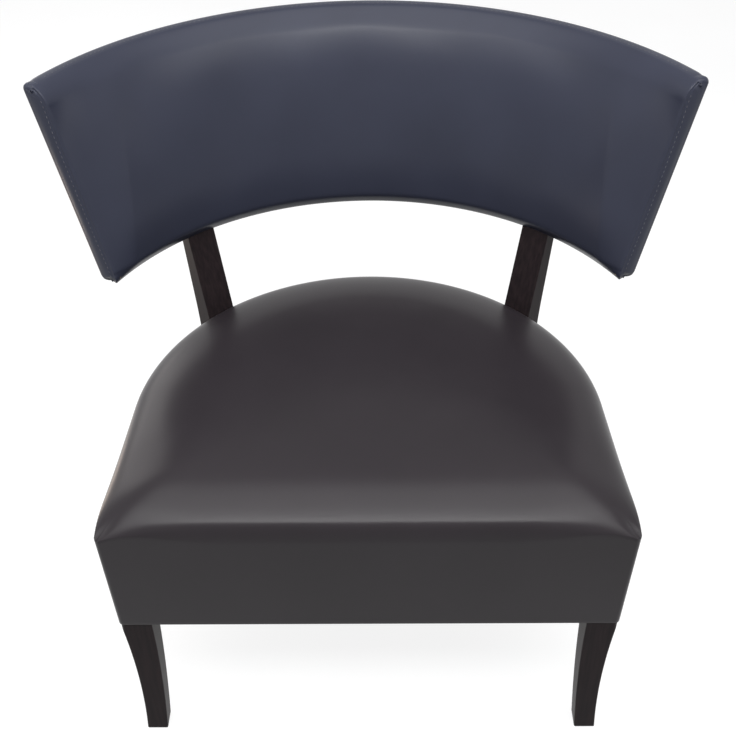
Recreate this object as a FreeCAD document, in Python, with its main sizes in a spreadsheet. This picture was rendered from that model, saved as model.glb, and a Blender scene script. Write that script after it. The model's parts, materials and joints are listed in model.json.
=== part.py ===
"""Low upholstered lounge chair with a curved, raked back on two stiles and a D-shaped seat.

The chair faces -Y, stands on z = 0, and its origin is at the middle of its base.
Sizes are millimetres and degrees. Three local frames are used, each upright:
the seat frame starts at the middle of the seat's front face, with +Y to the rear;
the back frame has its Z axis on the axis of the back's cone, with +X to the rear;
the leg frame is the back frame turned to the right-hand rear leg, with +X outwards through it.
"""
import FreeCAD, Part
import math
import os

import Sketcher

os.makedirs("parts", exist_ok=True)
doc = FreeCAD.newDocument("lounge_chair")

# Driving dimensions
DIMENSIONS = {
    # seat outline and heights
    "seat_half_width": 315,
    "seat_rim_inset": 10.5,
    "seat_rim_centre": 214,
    "apron_bottom": 227,
    "apron_tuck": 5.4,
    "seat_edge_height": 379,
    "seat_crown": 50,
    "apron_corner": 6,
    "vinyl": 1.2,
    # seat frame
    "frame_inset": 7,
    "rail_thickness": 24,
    "rail_height": 88,
    "rail_joint_angle": 33,
    "dust_cover": 0.8,
    "deck_cloth": 0.8,
    "strap_thickness": 1.4,
    "strap_width": 50,
    "strap_ramp": 4,
    "long_strap_pitch": 92,
    "cross_strap_pitch": 90,
    "first_cross_strap": 88,
    "block_reach": 89,
    "block_height": 44,
    "splice_length": 92,
    "splice_thickness": 26,
    # front legs
    "leg_top_width": 39,
    "leg_foot_width": 27.5,
    "leg_bow": 5,
    "leg_front_bow": 1,
    "leg_foot_set_in": 4.5,
    # rear legs with their stiles
    "stile_azimuth": 40,
    "stile_width": 42,
    "stile_set_back": 14,
    "stile_start_height": 396,
    "stile_low_depth": 32,
    "stile_head_drop": 30,
    "stile_ease": 0.55,
    "leg_housing": 7.5,
    "leg_waist_depth": 43,
    "leg_waist_height": 237,
    "leg_sweep": 46,
    "leg_foot_depth": 28,
    "rear_foot_width": 29,
    "sweep_front_radius": 690,
    "sweep_rear_radius": 1250,
    "lift_front_radius": 580,
    "lift_rear_radius": 880,
    "leg_edge_round": 2,
    # back
    "back_axis_lead": 28,
    "back_set_out": 32,
    "back_bottom": 509,
    "back_top": 775,
    "back_rake": 14.7,
    "back_half_angle": 65.5,
    "back_thickness": 37,
    "back_crown": 6,
    "back_foam": 10,
    "board_thickness": 8,
    "board_rise": 7,
    "board_drop": 12,
    "board_end_gap": 8,
    "back_rail_height": 42,
    "end_post_width": 30,
    "top_roll": 28,
    "bottom_roll": 12,
    "rear_round": 8,
    "end_round": 6,
    "seam_from_rear": 24,
    "seam_under": 18,
    "boxing_turn": 5,
    # fasteners and feet
    "glide_height": 3,
    "glide_radius": 10,
    "nail_radius": 1.2,
    "nail_length": 14,
    "dowel_radius": 5,
    "dowel_length": 50,
    "dowel_spacing": 44,
    "bolt_radius": 4,
    "leg_bolt_length": 48,
    "bolt_head_radius": 6.5,
    "bolt_head_height": 8,
    "washer_radius": 9,
    "washer_thickness": 1.6,
    "leg_bolt_spacing": 44,
    "insert_radius": 6,
    "insert_length": 20,
    "corner_bolt_length": 75,
    "nut_radius": 7.5,
    "nut_height": 6.5,
    "screw_radius": 2.2,
    "screw_length": 40,
    "board_screw_length": 22,
    "stile_bolt_radius": 3,
    "stile_bolt_spacing": 110,
    "tee_nut_radius": 9,
    "tee_nut_flange": 1.6,
    "fit_clearance": 0.6,
}

sheet = doc.addObject("Spreadsheet::Sheet", "dims")
for row, (alias, size) in enumerate(DIMENSIONS.items(), start=1):
    sheet.set(f"A{row}", alias.replace("_", " "))
    sheet.set(f"B{row}", str(size))
    sheet.setAlias(f"B{row}", alias)
doc.recompute()


def value(expression):
    """The number that an expression of sheet cells comes to."""
    return float(sheet.evalExpression(expression.replace("dims.", "")))


RIM_RADIUS = "(dims.seat_half_width - dims.seat_rim_inset)"
BACK_RADIUS = "(dims.seat_half_width + dims.back_set_out)"
AXIS_DEPTH = "(dims.seat_rim_centre - dims.back_axis_lead)"


def back_line(height):
    """Radius of the back's front face at a height, before its crown."""
    return f"({BACK_RADIUS} + ({height} - dims.back_bottom) * tan(dims.back_rake))"


def rim_distance(inset):
    """Distance in the leg frame from the back's axis to the seat rim, less an inset."""
    across = "(dims.back_axis_lead * sin(dims.stile_azimuth))"
    return (f"(dims.back_axis_lead * cos(dims.stile_azimuth)"
            f" + sqrt(({RIM_RADIUS} - {inset})^2 - {across}^2))")


# Derived places, all from the cells
CORNER_LOSS = "dims.rear_round * (tan(45 + dims.back_rake / 2) - 1)"
REAR_REACH = f"({back_line('dims.back_top')} + dims.back_thickness - {CORNER_LOSS})"
HALF_DEPTH = f"(({AXIS_DEPTH} + {REAR_REACH}) / 2)"
SEAT_FRONT = f"(-{HALF_DEPTH})"
BACK_AXIS = f"({AXIS_DEPTH} - {HALF_DEPTH})"
RAIL_BOTTOM = "(dims.apron_bottom + dims.dust_cover)"
RAIL_TOP = f"({RAIL_BOTTOM} + dims.rail_height)"
STRAPS_TOP = f"({RAIL_TOP} + 1.5 * dims.strap_thickness)"
DECK = f"({STRAPS_TOP} + dims.deck_cloth)"
RAIL_INNER = "(dims.frame_inset + dims.rail_thickness)"
LEG_OUTER = "(dims.seat_half_width - dims.frame_inset)"
LEG_INNER = f"({LEG_OUTER} - dims.leg_top_width)"
POST_BACK = "(dims.frame_inset + dims.leg_top_width)"
WAIST = f"({rim_distance('dims.frame_inset')} - dims.leg_housing)"
BOARD_FRONT = "(dims.vinyl + dims.back_foam)"
BOARD_BACK = f"({BOARD_FRONT} + dims.board_thickness)"
FRAME_BACK = "(dims.back_thickness - dims.vinyl)"
BOARD_FOOT = "(dims.back_bottom + dims.board_rise)"
BOARD_HEAD = "(dims.back_top - dims.board_drop)"
STILE_HEAD = "(dims.back_top - dims.stile_head_drop)"
END_GAP_ANGLE = f"(dims.board_end_gap / {BACK_RADIUS} * 180 / pi)"
BOXING_ANGLE = f"(dims.boxing_turn / {BACK_RADIUS} * 180 / pi)"
FAR = "(2 * dims.seat_half_width)"
X, Y, Z = FreeCAD.Vector(1, 0, 0), FreeCAD.Vector(0, 1, 0), FreeCAD.Vector(0, 0, 1)


def place(item, x="0", y="0", z="0", turn="0", axis="0; 0; 1"):
    """Binds an object's placement: a position and a turn about one axis."""
    item.setExpression(
        "Placement",
        f"create(<<placement>>; create(<<vector>>; {x}; {y}; {z});"
        f" create(<<rotation>>; create(<<vector>>; {axis}); {turn}))",
    )
    return item


def in_seat_frame(item):
    return place(item, y=SEAT_FRONT)


def in_back_frame(item):
    return place(item, y=BACK_AXIS, turn="90")


def in_leg_frame(item):
    return place(item, y=BACK_AXIS, turn="90 - dims.stile_azimuth")


def add(kind, label, **sizes):
    """Adds a primitive or a boolean whose sizes are bound to expressions."""
    item = doc.addObject(kind, label)
    item.Label = label
    for name, expression in sizes.items():
        item.setExpression(name, expression)
    return item


def cut(label, base, *tools):
    """The base less the tools."""
    item = add("Part::Cut", label)
    item.Base = base
    item.Tool = tools[0] if len(tools) == 1 else group(f"{label}_tools", *tools)
    return item


def common(label, base, tool):
    item = add("Part::Common", label)
    item.Base, item.Tool = base, tool
    return item


def fuse(label, *shapes):
    item = add("Part::MultiFuse", label)
    item.Shapes = list(shapes)
    return item


def group(label, *members):
    """Separate solids kept together as one object."""
    item = add("Part::Compound", label)
    item.Links = list(members)
    return item


def mirrored(label, source):
    """The left-hand twin of a right-hand piece."""
    item = add("Part::Mirroring", label)
    item.Source, item.Normal = source, X
    return item


def rod(label, radius, length, x="0", y="0", z="0", axis="0; 1; 0", turn="90"):
    """A round bar that starts at a point; it runs along +X unless turned otherwise."""
    item = add("Part::Cylinder", label, Radius=radius, Height=length)
    return place(item, x, y, z, turn, axis)


# Sketch helpers
def new_body(label, frame=None):
    body = doc.addObject("PartDesign::Body", label)
    body.Label = label
    if frame:
        frame(body)
    return body


def new_sketch(body, name, role="XY_Plane", height=None):
    """A sketch on one of the body's own planes, lifted to a height."""
    sketch = body.newObject("Sketcher::SketchObject", name)
    plane = next(f for f in body.Origin.OriginFeatures if f.Role == role)
    sketch.AttachmentSupport = [(plane, "")]
    sketch.MapMode = "FlatFace"
    if height:
        sketch.setExpression("AttachmentOffset.Base.z", height)
    return sketch


def bound(sketch, name, constraint, expression):
    """Adds a named constraint and binds its size."""
    index = sketch.addConstraint(constraint)
    sketch.renameConstraint(index, name)
    sketch.setExpression(f"Constraints.{name}", expression)


def arc_between(start, end, radius):
    """Arc of a circle from start to end: it bulges to the left of the way for a positive radius."""
    chord = end - start
    half = chord.Length / 2
    left = FreeCAD.Vector(-chord.y, chord.x, 0).normalize()
    side = 1 if radius > 0 else -1
    drop = math.sqrt(max(radius * radius - half * half, 0))
    centre = start + chord * 0.5 - left * drop * side
    first, last = (end, start) if side > 0 else (start, end)
    angles = [math.atan2(p.y - centre.y, p.x - centre.x) for p in (first, last)]
    if angles[1] < angles[0]:
        angles[1] += 2 * math.pi
    return Part.ArcOfCircle(Part.Circle(centre, Z, abs(radius)), *angles), side


def outline(sketch, points, arcs=None):
    """Closed outline through bound points. arcs gives sides their radius, positive to the left."""
    arcs = arcs or {}
    places = [FreeCAD.Vector(value(x), value(y), 0) for x, y in points]
    first = sketch.GeometryCount
    ends = []
    for i, start in enumerate(places):
        end = places[(i + 1) % len(places)]
        if i in arcs:
            curve, side = arc_between(start, end, value(arcs[i]))
            ends.append((2, 1) if side > 0 else (1, 2))
        else:
            curve = Part.LineSegment(start, end)
            ends.append((1, 2))
        sketch.addGeometry(curve, False)
    count = len(points)
    for i, (x, y) in enumerate(points):
        geo, before = first + i, first + (i - 1) % count
        begin = ends[i][0]
        sketch.addConstraint(Sketcher.Constraint(
            "Coincident", before, ends[(i - 1) % count][1], geo, begin))
        bound(sketch, f"x{geo}", Sketcher.Constraint(
            "DistanceX", -1, 1, geo, begin, places[i].x), x)
        bound(sketch, f"y{geo}", Sketcher.Constraint(
            "DistanceY", -1, 1, geo, begin, places[i].y), y)
        if i in arcs:
            bound(sketch, f"r{geo}", Sketcher.Constraint(
                "Radius", geo, abs(value(arcs[i]))), f"abs({arcs[i]})")


def d_outline(sketch, inset, corner):
    """The seat's outline in the seat frame, drawn in by an inset.

    A straight front, a rounded corner at each end of it, two straight sides,
    and a round back that the sides run into.
    """
    draw_in, corner_radius = value(inset), value(corner)
    half_width = value("dims.seat_half_width") - draw_in
    centre = FreeCAD.Vector(0, value("dims.seat_rim_centre"), 0)
    radius = value(RIM_RADIUS) - draw_in
    tip = FreeCAD.Vector(half_width, draw_in, 0)
    reach = tip - centre
    touch = math.atan2(reach.y, reach.x) + math.acos(radius / reach.Length)
    side_end = centre + FreeCAD.Vector(math.cos(touch), math.sin(touch), 0) * radius
    along = (side_end - tip).normalize()
    tip_angle = math.acos(-along.x)
    trim = corner_radius / math.tan(tip_angle / 2)
    front_end = tip - X * trim
    side_start = tip + along * trim
    corner_centre = front_end + Y * corner_radius
    lean = math.atan2(side_start.y - corner_centre.y, side_start.x - corner_centre.x)

    def flip(point):
        return FreeCAD.Vector(-point.x, point.y, point.z)

    base = sketch.GeometryCount
    front, right_corner, right, rear, left, left_corner, tip_right, tip_left = range(base, base + 8)
    sketch.addGeometry([
        Part.LineSegment(flip(front_end), front_end),
        Part.ArcOfCircle(Part.Circle(corner_centre, Z, corner_radius), -math.pi / 2, lean),
        Part.LineSegment(side_start, side_end),
        Part.ArcOfCircle(Part.Circle(centre, Z, radius), touch, math.pi - touch),
        Part.LineSegment(flip(side_end), flip(side_start)),
        Part.ArcOfCircle(
            Part.Circle(flip(corner_centre), Z, corner_radius), math.pi - lean, 1.5 * math.pi),
        Part.Point(tip),
        Part.Point(flip(tip)),
    ], False)
    for tip_geometry in (tip_right, tip_left):
        sketch.toggleConstruction(tip_geometry)
    ring = [front, right_corner, right, rear, left, left_corner, front]
    for one, other in zip(ring, ring[1:]):
        sketch.addConstraint(Sketcher.Constraint("Tangent", one, 2, other, 1))
    sketch.addConstraint(Sketcher.Constraint("Horizontal", front))
    for tip_geometry, side in ((tip_right, right), (tip_left, left)):
        sketch.addConstraint(Sketcher.Constraint("PointOnObject", tip_geometry, 1, front))
        sketch.addConstraint(Sketcher.Constraint("PointOnObject", tip_geometry, 1, side))
    far_x = f"dims.seat_half_width - ({inset})"
    bound(sketch, f"front{base}", Sketcher.Constraint(
        "DistanceY", -1, 1, front, 1, draw_in), inset)
    bound(sketch, f"tip_right{base}", Sketcher.Constraint(
        "DistanceX", -1, 1, tip_right, 1, half_width), far_x)
    bound(sketch, f"tip_left{base}", Sketcher.Constraint(
        "DistanceX", tip_left, 1, -1, 1, half_width), far_x)
    sketch.addConstraint(Sketcher.Constraint("PointOnObject", rear, 3, -2))
    bound(sketch, f"centre{base}", Sketcher.Constraint(
        "DistanceY", -1, 1, rear, 3, centre.y), "dims.seat_rim_centre")
    bound(sketch, f"rim{base}", Sketcher.Constraint(
        "Radius", rear, radius), f"{RIM_RADIUS} - ({inset})")
    for name, geometry in (("right", right_corner), ("left", left_corner)):
        bound(sketch, f"{name}_corner{base}", Sketcher.Constraint(
            "Radius", geometry, corner_radius), corner)


def pad(body, sketch, length, symmetric=False):
    feature = body.newObject("PartDesign::Pad", f"{sketch.Name}_pad")
    feature.Profile = sketch
    feature.setExpression("Length", length)
    feature.Midplane = symmetric
    return feature


def loft(body, sketches, ruled):
    feature = body.newObject("PartDesign::AdditiveLoft", f"{sketches[0].Name}_loft")
    feature.Profile = sketches[0]
    feature.Sections = sketches[1:]
    feature.Ruled = ruled
    return feature


def turned(label, points, half_angle, arcs=None):
    """A section in the back frame, turned about the back's axis by an equal angle each way."""
    body = new_body(label, in_back_frame)
    sketch = new_sketch(body, f"{label}_section", "XZ_Plane")
    outline(sketch, points, arcs)
    turn = body.newObject("PartDesign::Revolution", f"{label}_turn")
    turn.Profile = sketch
    turn.ReferenceAxis = (sketch, ["V_Axis"])
    turn.Midplane = True
    turn.setExpression("Angle", f"2 * ({half_angle})")
    return body, turn


def layer(front, rear, foot, head):
    """Corner points of a raked layer of the back, between two depths and two heights."""
    return [
        (f"{back_line(foot)} + {front}", foot),
        (f"{back_line(foot)} + {rear}", foot),
        (f"{back_line(head)} + {rear}", head),
        (f"{back_line(head)} + {front}", head),
    ]


def plank(label, x, y, z, length, width, height):
    """A straight board in the seat frame, from its near left bottom corner."""
    item = add("Part::Box", label, Length=length, Width=width, Height=height)
    return place(item, x, f"{SEAT_FRONT} + {y}", z)


# Seat rails: one bent ring, parted at the front posts and behind the side curves
ring = new_body("seat_ring", in_seat_frame)
ring_plan = new_sketch(ring, "ring_plan", height=RAIL_BOTTOM)
d_outline(ring_plan, "dims.frame_inset", "dims.apron_corner")
d_outline(ring_plan, RAIL_INNER, "dims.apron_corner")
pad(ring, ring_plan, "dims.rail_height")

frame_interior = new_body("frame_interior", in_seat_frame)
interior_plan = new_sketch(frame_interior, "interior_plan", height=RAIL_BOTTOM)
d_outline(interior_plan, RAIL_INNER, "dims.apron_corner")
pad(frame_interior, interior_plan, "dims.rail_height")

rail_prism = new_body("rail_prism", in_seat_frame)
prism_plan = new_sketch(rail_prism, "prism_plan")
d_outline(prism_plan, "dims.frame_inset", "dims.apron_corner")
pad(rail_prism, prism_plan, FAR)

rear_quarter = add("Part::Box", "rear_quarter", Length=FAR, Width=FAR, Height=FAR)
place(rear_quarter, y=f"{SEAT_FRONT} + dims.seat_rim_centre", turn="dims.rail_joint_angle")
side_quarter = add("Part::Box", "side_quarter", Length=FAR, Width=FAR, Height=FAR)
place(side_quarter, y=f"{SEAT_FRONT} + dims.seat_rim_centre", turn="dims.rail_joint_angle - 90")
front_zone = plank("front_zone", f"-{FAR}", f"-{FAR}", "0", f"2 * {FAR}", f"{FAR} + {POST_BACK}", FAR)
rear_half = fuse("rear_half", rear_quarter, mirrored("rear_quarter_left", rear_quarter))

back_rail_blank = common("back_rail_blank", ring, rear_half)
side_rail_blank = cut("side_rail_blank", common("side_rail_curve", ring, side_quarter), front_zone)
front_rail_blank = plank("front_rail_blank", f"-{LEG_INNER}", "dims.frame_inset", RAIL_BOTTOM,
                         f"2 * {LEG_INNER}", "dims.rail_thickness", "dims.rail_height")

# Front leg: a post in the frame's corner and a tapered, gently bowed leg below it
LEG_SECTIONS = 5
TAPER_POWER = 1.8


def leg_square(body, share):
    """The leg's square section at a share of the way up from the foot."""
    rise = f"(dims.glide_height + {share} * ({RAIL_BOTTOM} - dims.glide_height))"
    set_in = f"dims.leg_foot_set_in * {1 - share}"
    side_inset = f"({set_in} + dims.leg_bow * {4 * share * (1 - share)})"
    front_inset = f"({set_in} + dims.leg_front_bow * {4 * share * (1 - share)})"
    width = ("(dims.leg_foot_width + (dims.leg_top_width - dims.leg_foot_width)"
             f" * {share ** TAPER_POWER})")
    right, near = f"({LEG_OUTER} - {side_inset})", f"(dims.frame_inset + {front_inset})"
    left, far, soft = f"({right} - {width})", f"({near} + {width})", "dims.leg_edge_round"
    sketch = new_sketch(body, f"leg_square_{round(100 * share)}", height=rise)
    outline(sketch, [
        (f"{left} + {soft}", near), (f"{right} - {soft}", near),
        (right, f"{near} + {soft}"), (right, f"{far} - {soft}"),
        (f"{right} - {soft}", far), (f"{left} + {soft}", far),
        (left, f"{far} - {soft}"), (left, f"{near} + {soft}"),
    ], dict.fromkeys((1, 3, 5, 7), f"-{soft}"))
    return sketch


front_leg_form = new_body("front_leg_form", in_seat_frame)
loft(front_leg_form,
     [leg_square(front_leg_form, i / (LEG_SECTIONS - 1)) for i in range(LEG_SECTIONS)], False)
post_plan = new_sketch(front_leg_form, "post_plan", height=RAIL_BOTTOM)
outline(post_plan, [
    (LEG_INNER, "dims.frame_inset"), (LEG_OUTER, "dims.frame_inset"),
    (LEG_OUTER, POST_BACK), (LEG_INNER, POST_BACK),
])
pad(front_leg_form, post_plan, "dims.rail_height")
front_leg_blank = common("front_leg_blank", front_leg_form, rail_prism)


# Rear leg: sabre foot, waist housed in the rail, and a raked stile that runs up into the back
def stile_front(height):
    return f"({back_line(height)} + dims.stile_set_back)"


def rear_leg(label, grow):
    """The rear leg's blank in the leg frame, with its faces moved out by grow."""
    in_back = f"({FRAME_BACK} - dims.stile_ease + {grow})"
    foot, start = f"(dims.glide_height - {grow})", "dims.stile_start_height"
    body = new_body(label, in_leg_frame)
    side = new_sketch(body, f"{label}_side", "XZ_Plane")
    outline(side, [
        (f"{WAIST} + dims.leg_sweep - {grow}", foot),
        (f"{WAIST} + dims.leg_sweep + dims.leg_foot_depth + {grow}", foot),
        (f"{WAIST} + dims.leg_waist_depth + {grow}", "dims.leg_waist_height"),
        (f"{stile_front(start)} + dims.stile_low_depth + {grow}", start),
        (f"{back_line(BOARD_FOOT)} + {in_back}", BOARD_FOOT),
        (f"{back_line(STILE_HEAD)} + {in_back}", STILE_HEAD),
        (f"{back_line(STILE_HEAD)} + {BOARD_BACK}", STILE_HEAD),
        (f"{back_line(BOARD_FOOT)} + {BOARD_BACK}", BOARD_FOOT),
        (f"{stile_front(BOARD_FOOT)} - {grow}", BOARD_FOOT),
        (f"{stile_front(start)} - {grow}", start),
        (f"{WAIST} - {grow}", "dims.leg_waist_height"),
    ], {
        1: "dims.sweep_rear_radius", 2: "dims.lift_rear_radius",
        9: "-dims.lift_front_radius", 10: "-dims.sweep_front_radius",
    })
    pad(body, side, f"dims.stile_width + 2 * {grow}", symmetric=True)
    face = new_sketch(body, f"{label}_taper", "YZ_Plane")
    for hand in (-1, 1):
        outline(face, [
            (f"{hand} * (dims.stile_width / 2 + {grow})", "dims.leg_waist_height"),
            (f"{hand} * (dims.rear_foot_width / 2 + {grow})", foot),
            (f"{hand} * dims.stile_width", foot),
            (f"{hand} * dims.stile_width", "dims.leg_waist_height"),
        ])
    taper = body.newObject("PartDesign::Pocket", f"{label}_taper_cut")
    taper.Profile = face
    taper.Type = "ThroughAll"
    taper.Midplane = True
    return body


rear_leg_blank = rear_leg("rear_leg_blank", "0")
rear_leg_room = rear_leg("rear_leg_room", "dims.fit_clearance")
doc.recompute()
shown_edges = [
    f"Edge{i}" for i, edge in enumerate(rear_leg_blank.Shape.Edges, start=1)
    if edge.BoundBox.ZMax < value("dims.back_bottom + dims.board_rise") + 1
    and edge.BoundBox.ZLength > value("dims.leg_waist_depth")
]
leg_round = rear_leg_blank.newObject("PartDesign::Fillet", "leg_round")
leg_round.Base = (rear_leg_blank.Tip if rear_leg_blank.Tip != leg_round
                  else leg_round.BaseFeature, shown_edges)
leg_round.setExpression("Radius", "dims.leg_edge_round")

rear_leg_pair = group("rear_leg_pair", rear_leg_blank, mirrored("rear_leg_twin", rear_leg_blank))
rear_room_pair = group("rear_room_pair", rear_leg_room, mirrored("rear_room_twin", rear_leg_room))

# Glides: a disc under each foot with its nail
FOOT_MIDDLE = "(dims.leg_foot_set_in + dims.leg_foot_width / 2)"
REAR_FOOT = f"({WAIST} + dims.leg_sweep + dims.leg_foot_depth / 2)"


def glide(label, frame, x, y="0"):
    disc = rod(f"{label}_disc", "dims.glide_radius", "dims.glide_height", x, y, turn="0")
    nail = rod(f"{label}_nail", "dims.nail_radius", "dims.nail_length", x, y, turn="0")
    return frame(fuse(label, disc, nail))


front_glide = glide("front_glide", in_seat_frame,
                    f"{LEG_OUTER} - {FOOT_MIDDLE}", f"dims.frame_inset + {FOOT_MIDDLE}")
rear_glide = glide("rear_glide", in_leg_frame, REAR_FOOT)
glides = group("glides", front_glide, mirrored("front_glide_left", front_glide),
               rear_glide, mirrored("rear_glide_left", rear_glide))

# Dowels that join the front and side rails to the posts
RAIL_MIDDLE = f"({RAIL_BOTTOM} + dims.rail_height / 2)"
dowels = []
for level in (-0.5, 0.5):
    height = f"{RAIL_MIDDLE} + {level} * dims.dowel_spacing"
    place_in_rail = "(dims.frame_inset + dims.rail_thickness / 2)"
    dowels.append(rod(
        f"front_dowel_{len(dowels)}", "dims.dowel_radius", "dims.dowel_length",
        f"{LEG_INNER} - dims.dowel_length / 2", f"{SEAT_FRONT} + {place_in_rail}",
        f"{height} + dims.dowel_radius"))
    dowels.append(rod(
        f"side_dowel_{len(dowels)}", "dims.dowel_radius", "dims.dowel_length",
        f"dims.seat_half_width - {place_in_rail} - {POST_BACK} / 16",
        f"{SEAT_FRONT} + {POST_BACK} + dims.dowel_length / 2",
        f"{height} - dims.dowel_radius", axis="1; 0; 0"))
right_dowels = group("right_dowels", *dowels)
frame_dowels = group("frame_dowels", right_dowels, mirrored("left_dowels", right_dowels))

# Bolts that hold each rear leg to the back rail: head and washer inside, insert in the leg
RAIL_FACE = rim_distance(RAIL_INNER)
leg_bolts, leg_washers, leg_inserts = [], [], []
for level in (-0.5, 0.5):
    height = f"{RAIL_MIDDLE} + {level} * dims.leg_bolt_spacing"
    seat_of_head = f"{RAIL_FACE} - dims.washer_thickness"
    head = rod("leg_bolt_head", "dims.bolt_head_radius", "dims.bolt_head_height",
               f"{seat_of_head} - dims.bolt_head_height", z=height)
    shank = rod("leg_bolt_shank", "dims.bolt_radius", "dims.leg_bolt_length", seat_of_head, z=height)
    leg_bolts.append(fuse("leg_bolt", head, shank))
    disc = rod("washer_disc", "dims.washer_radius", "dims.washer_thickness", seat_of_head, z=height)
    leg_washers.append(cut("leg_washer", disc, shank))
    sleeve = rod("insert_sleeve", "dims.insert_radius", "dims.insert_length",
                 f"{seat_of_head} + dims.leg_bolt_length - dims.insert_length", z=height)
    leg_inserts.append(cut("leg_insert", sleeve, shank))


def both_sides(label, members):
    """Members of the leg frame as one group, with their left-hand twins."""
    right = in_leg_frame(group(f"{label}_right", *members))
    return group(label, right, mirrored(f"{label}_left", right))


rear_leg_bolts = both_sides("rear_leg_bolts", leg_bolts)
rear_leg_washers = both_sides("rear_leg_washers", leg_washers)
rear_leg_inserts = both_sides("rear_leg_inserts", leg_inserts)

# Corner blocks behind the front posts, each with a hanger bolt and nut, and splice blocks behind
corner_blank = new_body("corner_blank", in_seat_frame)
corner_plan = new_sketch(corner_blank, "corner_plan", height=f"{RAIL_MIDDLE} - dims.block_height / 2")
REACH_IN = f"({LEG_INNER} - dims.block_reach)"
outline(corner_plan, [
    (REACH_IN, "dims.frame_inset"), (LEG_OUTER, "dims.frame_inset"),
    (LEG_OUTER, f"{POST_BACK} + dims.block_reach"),
])
pad(corner_blank, corner_plan, "dims.block_height")


def on_diagonal(item):
    """Places a piece on the post's inner corner, with +X inwards along the diagonal."""
    return place(item, LEG_INNER, f"{SEAT_FRONT} + {POST_BACK}", RAIL_MIDDLE, "135")


corner_shank = rod("corner_shank", "dims.bolt_radius", "dims.corner_bolt_length",
                   "-dims.corner_bolt_length / 3")
corner_bolt = on_diagonal(group("corner_bolt_right", corner_shank))
DIAGONAL_FACE = "((dims.block_reach - dims.leg_top_width) / sqrt(2))"
nut_hex = add("Part::Prism", "nut_hex", Circumradius="dims.nut_radius", Height="dims.nut_height")
place(nut_hex, DIAGONAL_FACE, turn="90", axis="0; 1; 0")
corner_nut = on_diagonal(group("corner_nut_right", cut("nut_bored", nut_hex, corner_shank)))
corner_bolts = group("corner_bolts", corner_bolt, mirrored("corner_bolt_left", corner_bolt))
corner_nuts = group("corner_nuts", corner_nut, mirrored("corner_nut_left", corner_nut))

splice_blank = add("Part::Box", "splice_blank", Length="2 * dims.splice_thickness",
                   Width="dims.splice_length", Height="dims.block_height")
place(splice_blank, f"{RIM_RADIUS} - {RAIL_INNER} - dims.splice_thickness",
      "-dims.splice_length / 2", f"{RAIL_MIDDLE} - dims.block_height / 2")
splice_set = group("splice_set", splice_blank)
place(splice_set, y=f"{SEAT_FRONT} + dims.seat_rim_centre", turn="dims.rail_joint_angle")

# Screws through the splice blocks into the rails, and through the corner blocks
splice_screws = []
for across in (-0.36, -0.15, 0.15, 0.36):
    splice_screws.append(rod(
        "splice_screw", "dims.screw_radius", "dims.screw_length",
        f"{RIM_RADIUS} - {RAIL_INNER} - dims.splice_thickness",
        f"{across} * dims.splice_length", RAIL_MIDDLE))
splice_screw_set = group("splice_screw_set", *splice_screws)
place(splice_screw_set, y=f"{SEAT_FRONT} + dims.seat_rim_centre", turn="dims.rail_joint_angle")
to_front = rod("corner_screw_front", "dims.screw_radius", "dims.screw_length",
               f"{LEG_INNER} - dims.block_reach / 3",
               f"{SEAT_FRONT} + dims.frame_inset + dims.screw_length + dims.block_reach / 20",
               f"{RAIL_MIDDLE} + dims.block_height / 4", axis="1; 0; 0")
to_side = rod("corner_screw_side", "dims.screw_radius", "dims.screw_length",
              f"{LEG_OUTER} - dims.screw_length - dims.block_reach / 10",
              f"{SEAT_FRONT} + {POST_BACK} + dims.block_reach / 3",
              f"{RAIL_MIDDLE} - dims.block_height / 4")
right_screws = group("right_screws", splice_screw_set, to_front, to_side)
block_screws = group("block_screws", right_screws, mirrored("left_screws", right_screws))

# Finished frame pieces: each blank less what passes through it
front_leg_right = cut("front_leg_right", front_leg_blank, glides, frame_dowels, corner_bolts)
rear_leg_right = cut("rear_leg_right", rear_leg_blank, glides, rear_leg_bolts, rear_leg_inserts)
seat_front_rail = cut("seat_front_rail", front_rail_blank, frame_dowels, block_screws)
seat_side_rail_right = cut("seat_side_rail_right", side_rail_blank, frame_dowels, block_screws)
seat_back_rail = cut("seat_back_rail", back_rail_blank,
                     rear_leg_pair, rear_leg_bolts, rear_leg_washers, block_screws)
corner_block_right = cut("corner_block_right", common("corner_inside", corner_blank, frame_interior),
                         front_leg_blank, corner_bolts, block_screws)
splice_block_right = cut("splice_block_right", common("splice_inside", splice_set, frame_interior),
                         block_screws)


# Webbing: flat straps woven over and under each other, from rail to rail
def woven_strap(along_y, offset, crossings, over, half_length):
    """One strap as a ribbon that steps over and under the straps that cross it.

    Its line is flat for a strap's width at each crossing, slopes evenly between them,
    and comes level with the rails a short ramp beyond the first and last of them.
    """
    thickness, width = value("dims.strap_thickness"), value("dims.strap_width")
    middle = value(RAIL_TOP) + thickness / 2
    level = width / 2 + value("dims.strap_ramp")
    line = [(crossings[0] - half_length, middle), (crossings[0] - level, middle)]
    for i, crossing in enumerate(crossings):
        step = thickness / 2 * (1 if (i + over) % 2 else -1)
        line += [(crossing - width / 2, middle + step), (crossing + width / 2, middle + step)]
    line += [(crossings[-1] + level, middle), (crossings[-1] + half_length, middle)]
    upper = [(run, rise + thickness / 2) for run, rise in line]
    lower = [(run, rise - thickness / 2) for run, rise in reversed(line)]
    near = offset - width / 2
    loop = [FreeCAD.Vector(near, run, rise) if along_y else FreeCAD.Vector(run, near, rise)
            for run, rise in upper + lower]
    face = Part.Face(Part.makePolygon(loop + loop[:1]))
    return face.extrude((X if along_y else Y) * width)


deck_plan = new_body("deck_plan")
deck_sketch = new_sketch(deck_plan, "deck_sketch", height=RAIL_BOTTOM)
d_outline(deck_sketch, "dims.frame_inset + dims.rail_thickness / 4", "dims.apron_corner")
pad(deck_plan, deck_sketch, "2 * dims.rail_height")
doc.recompute()

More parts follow.
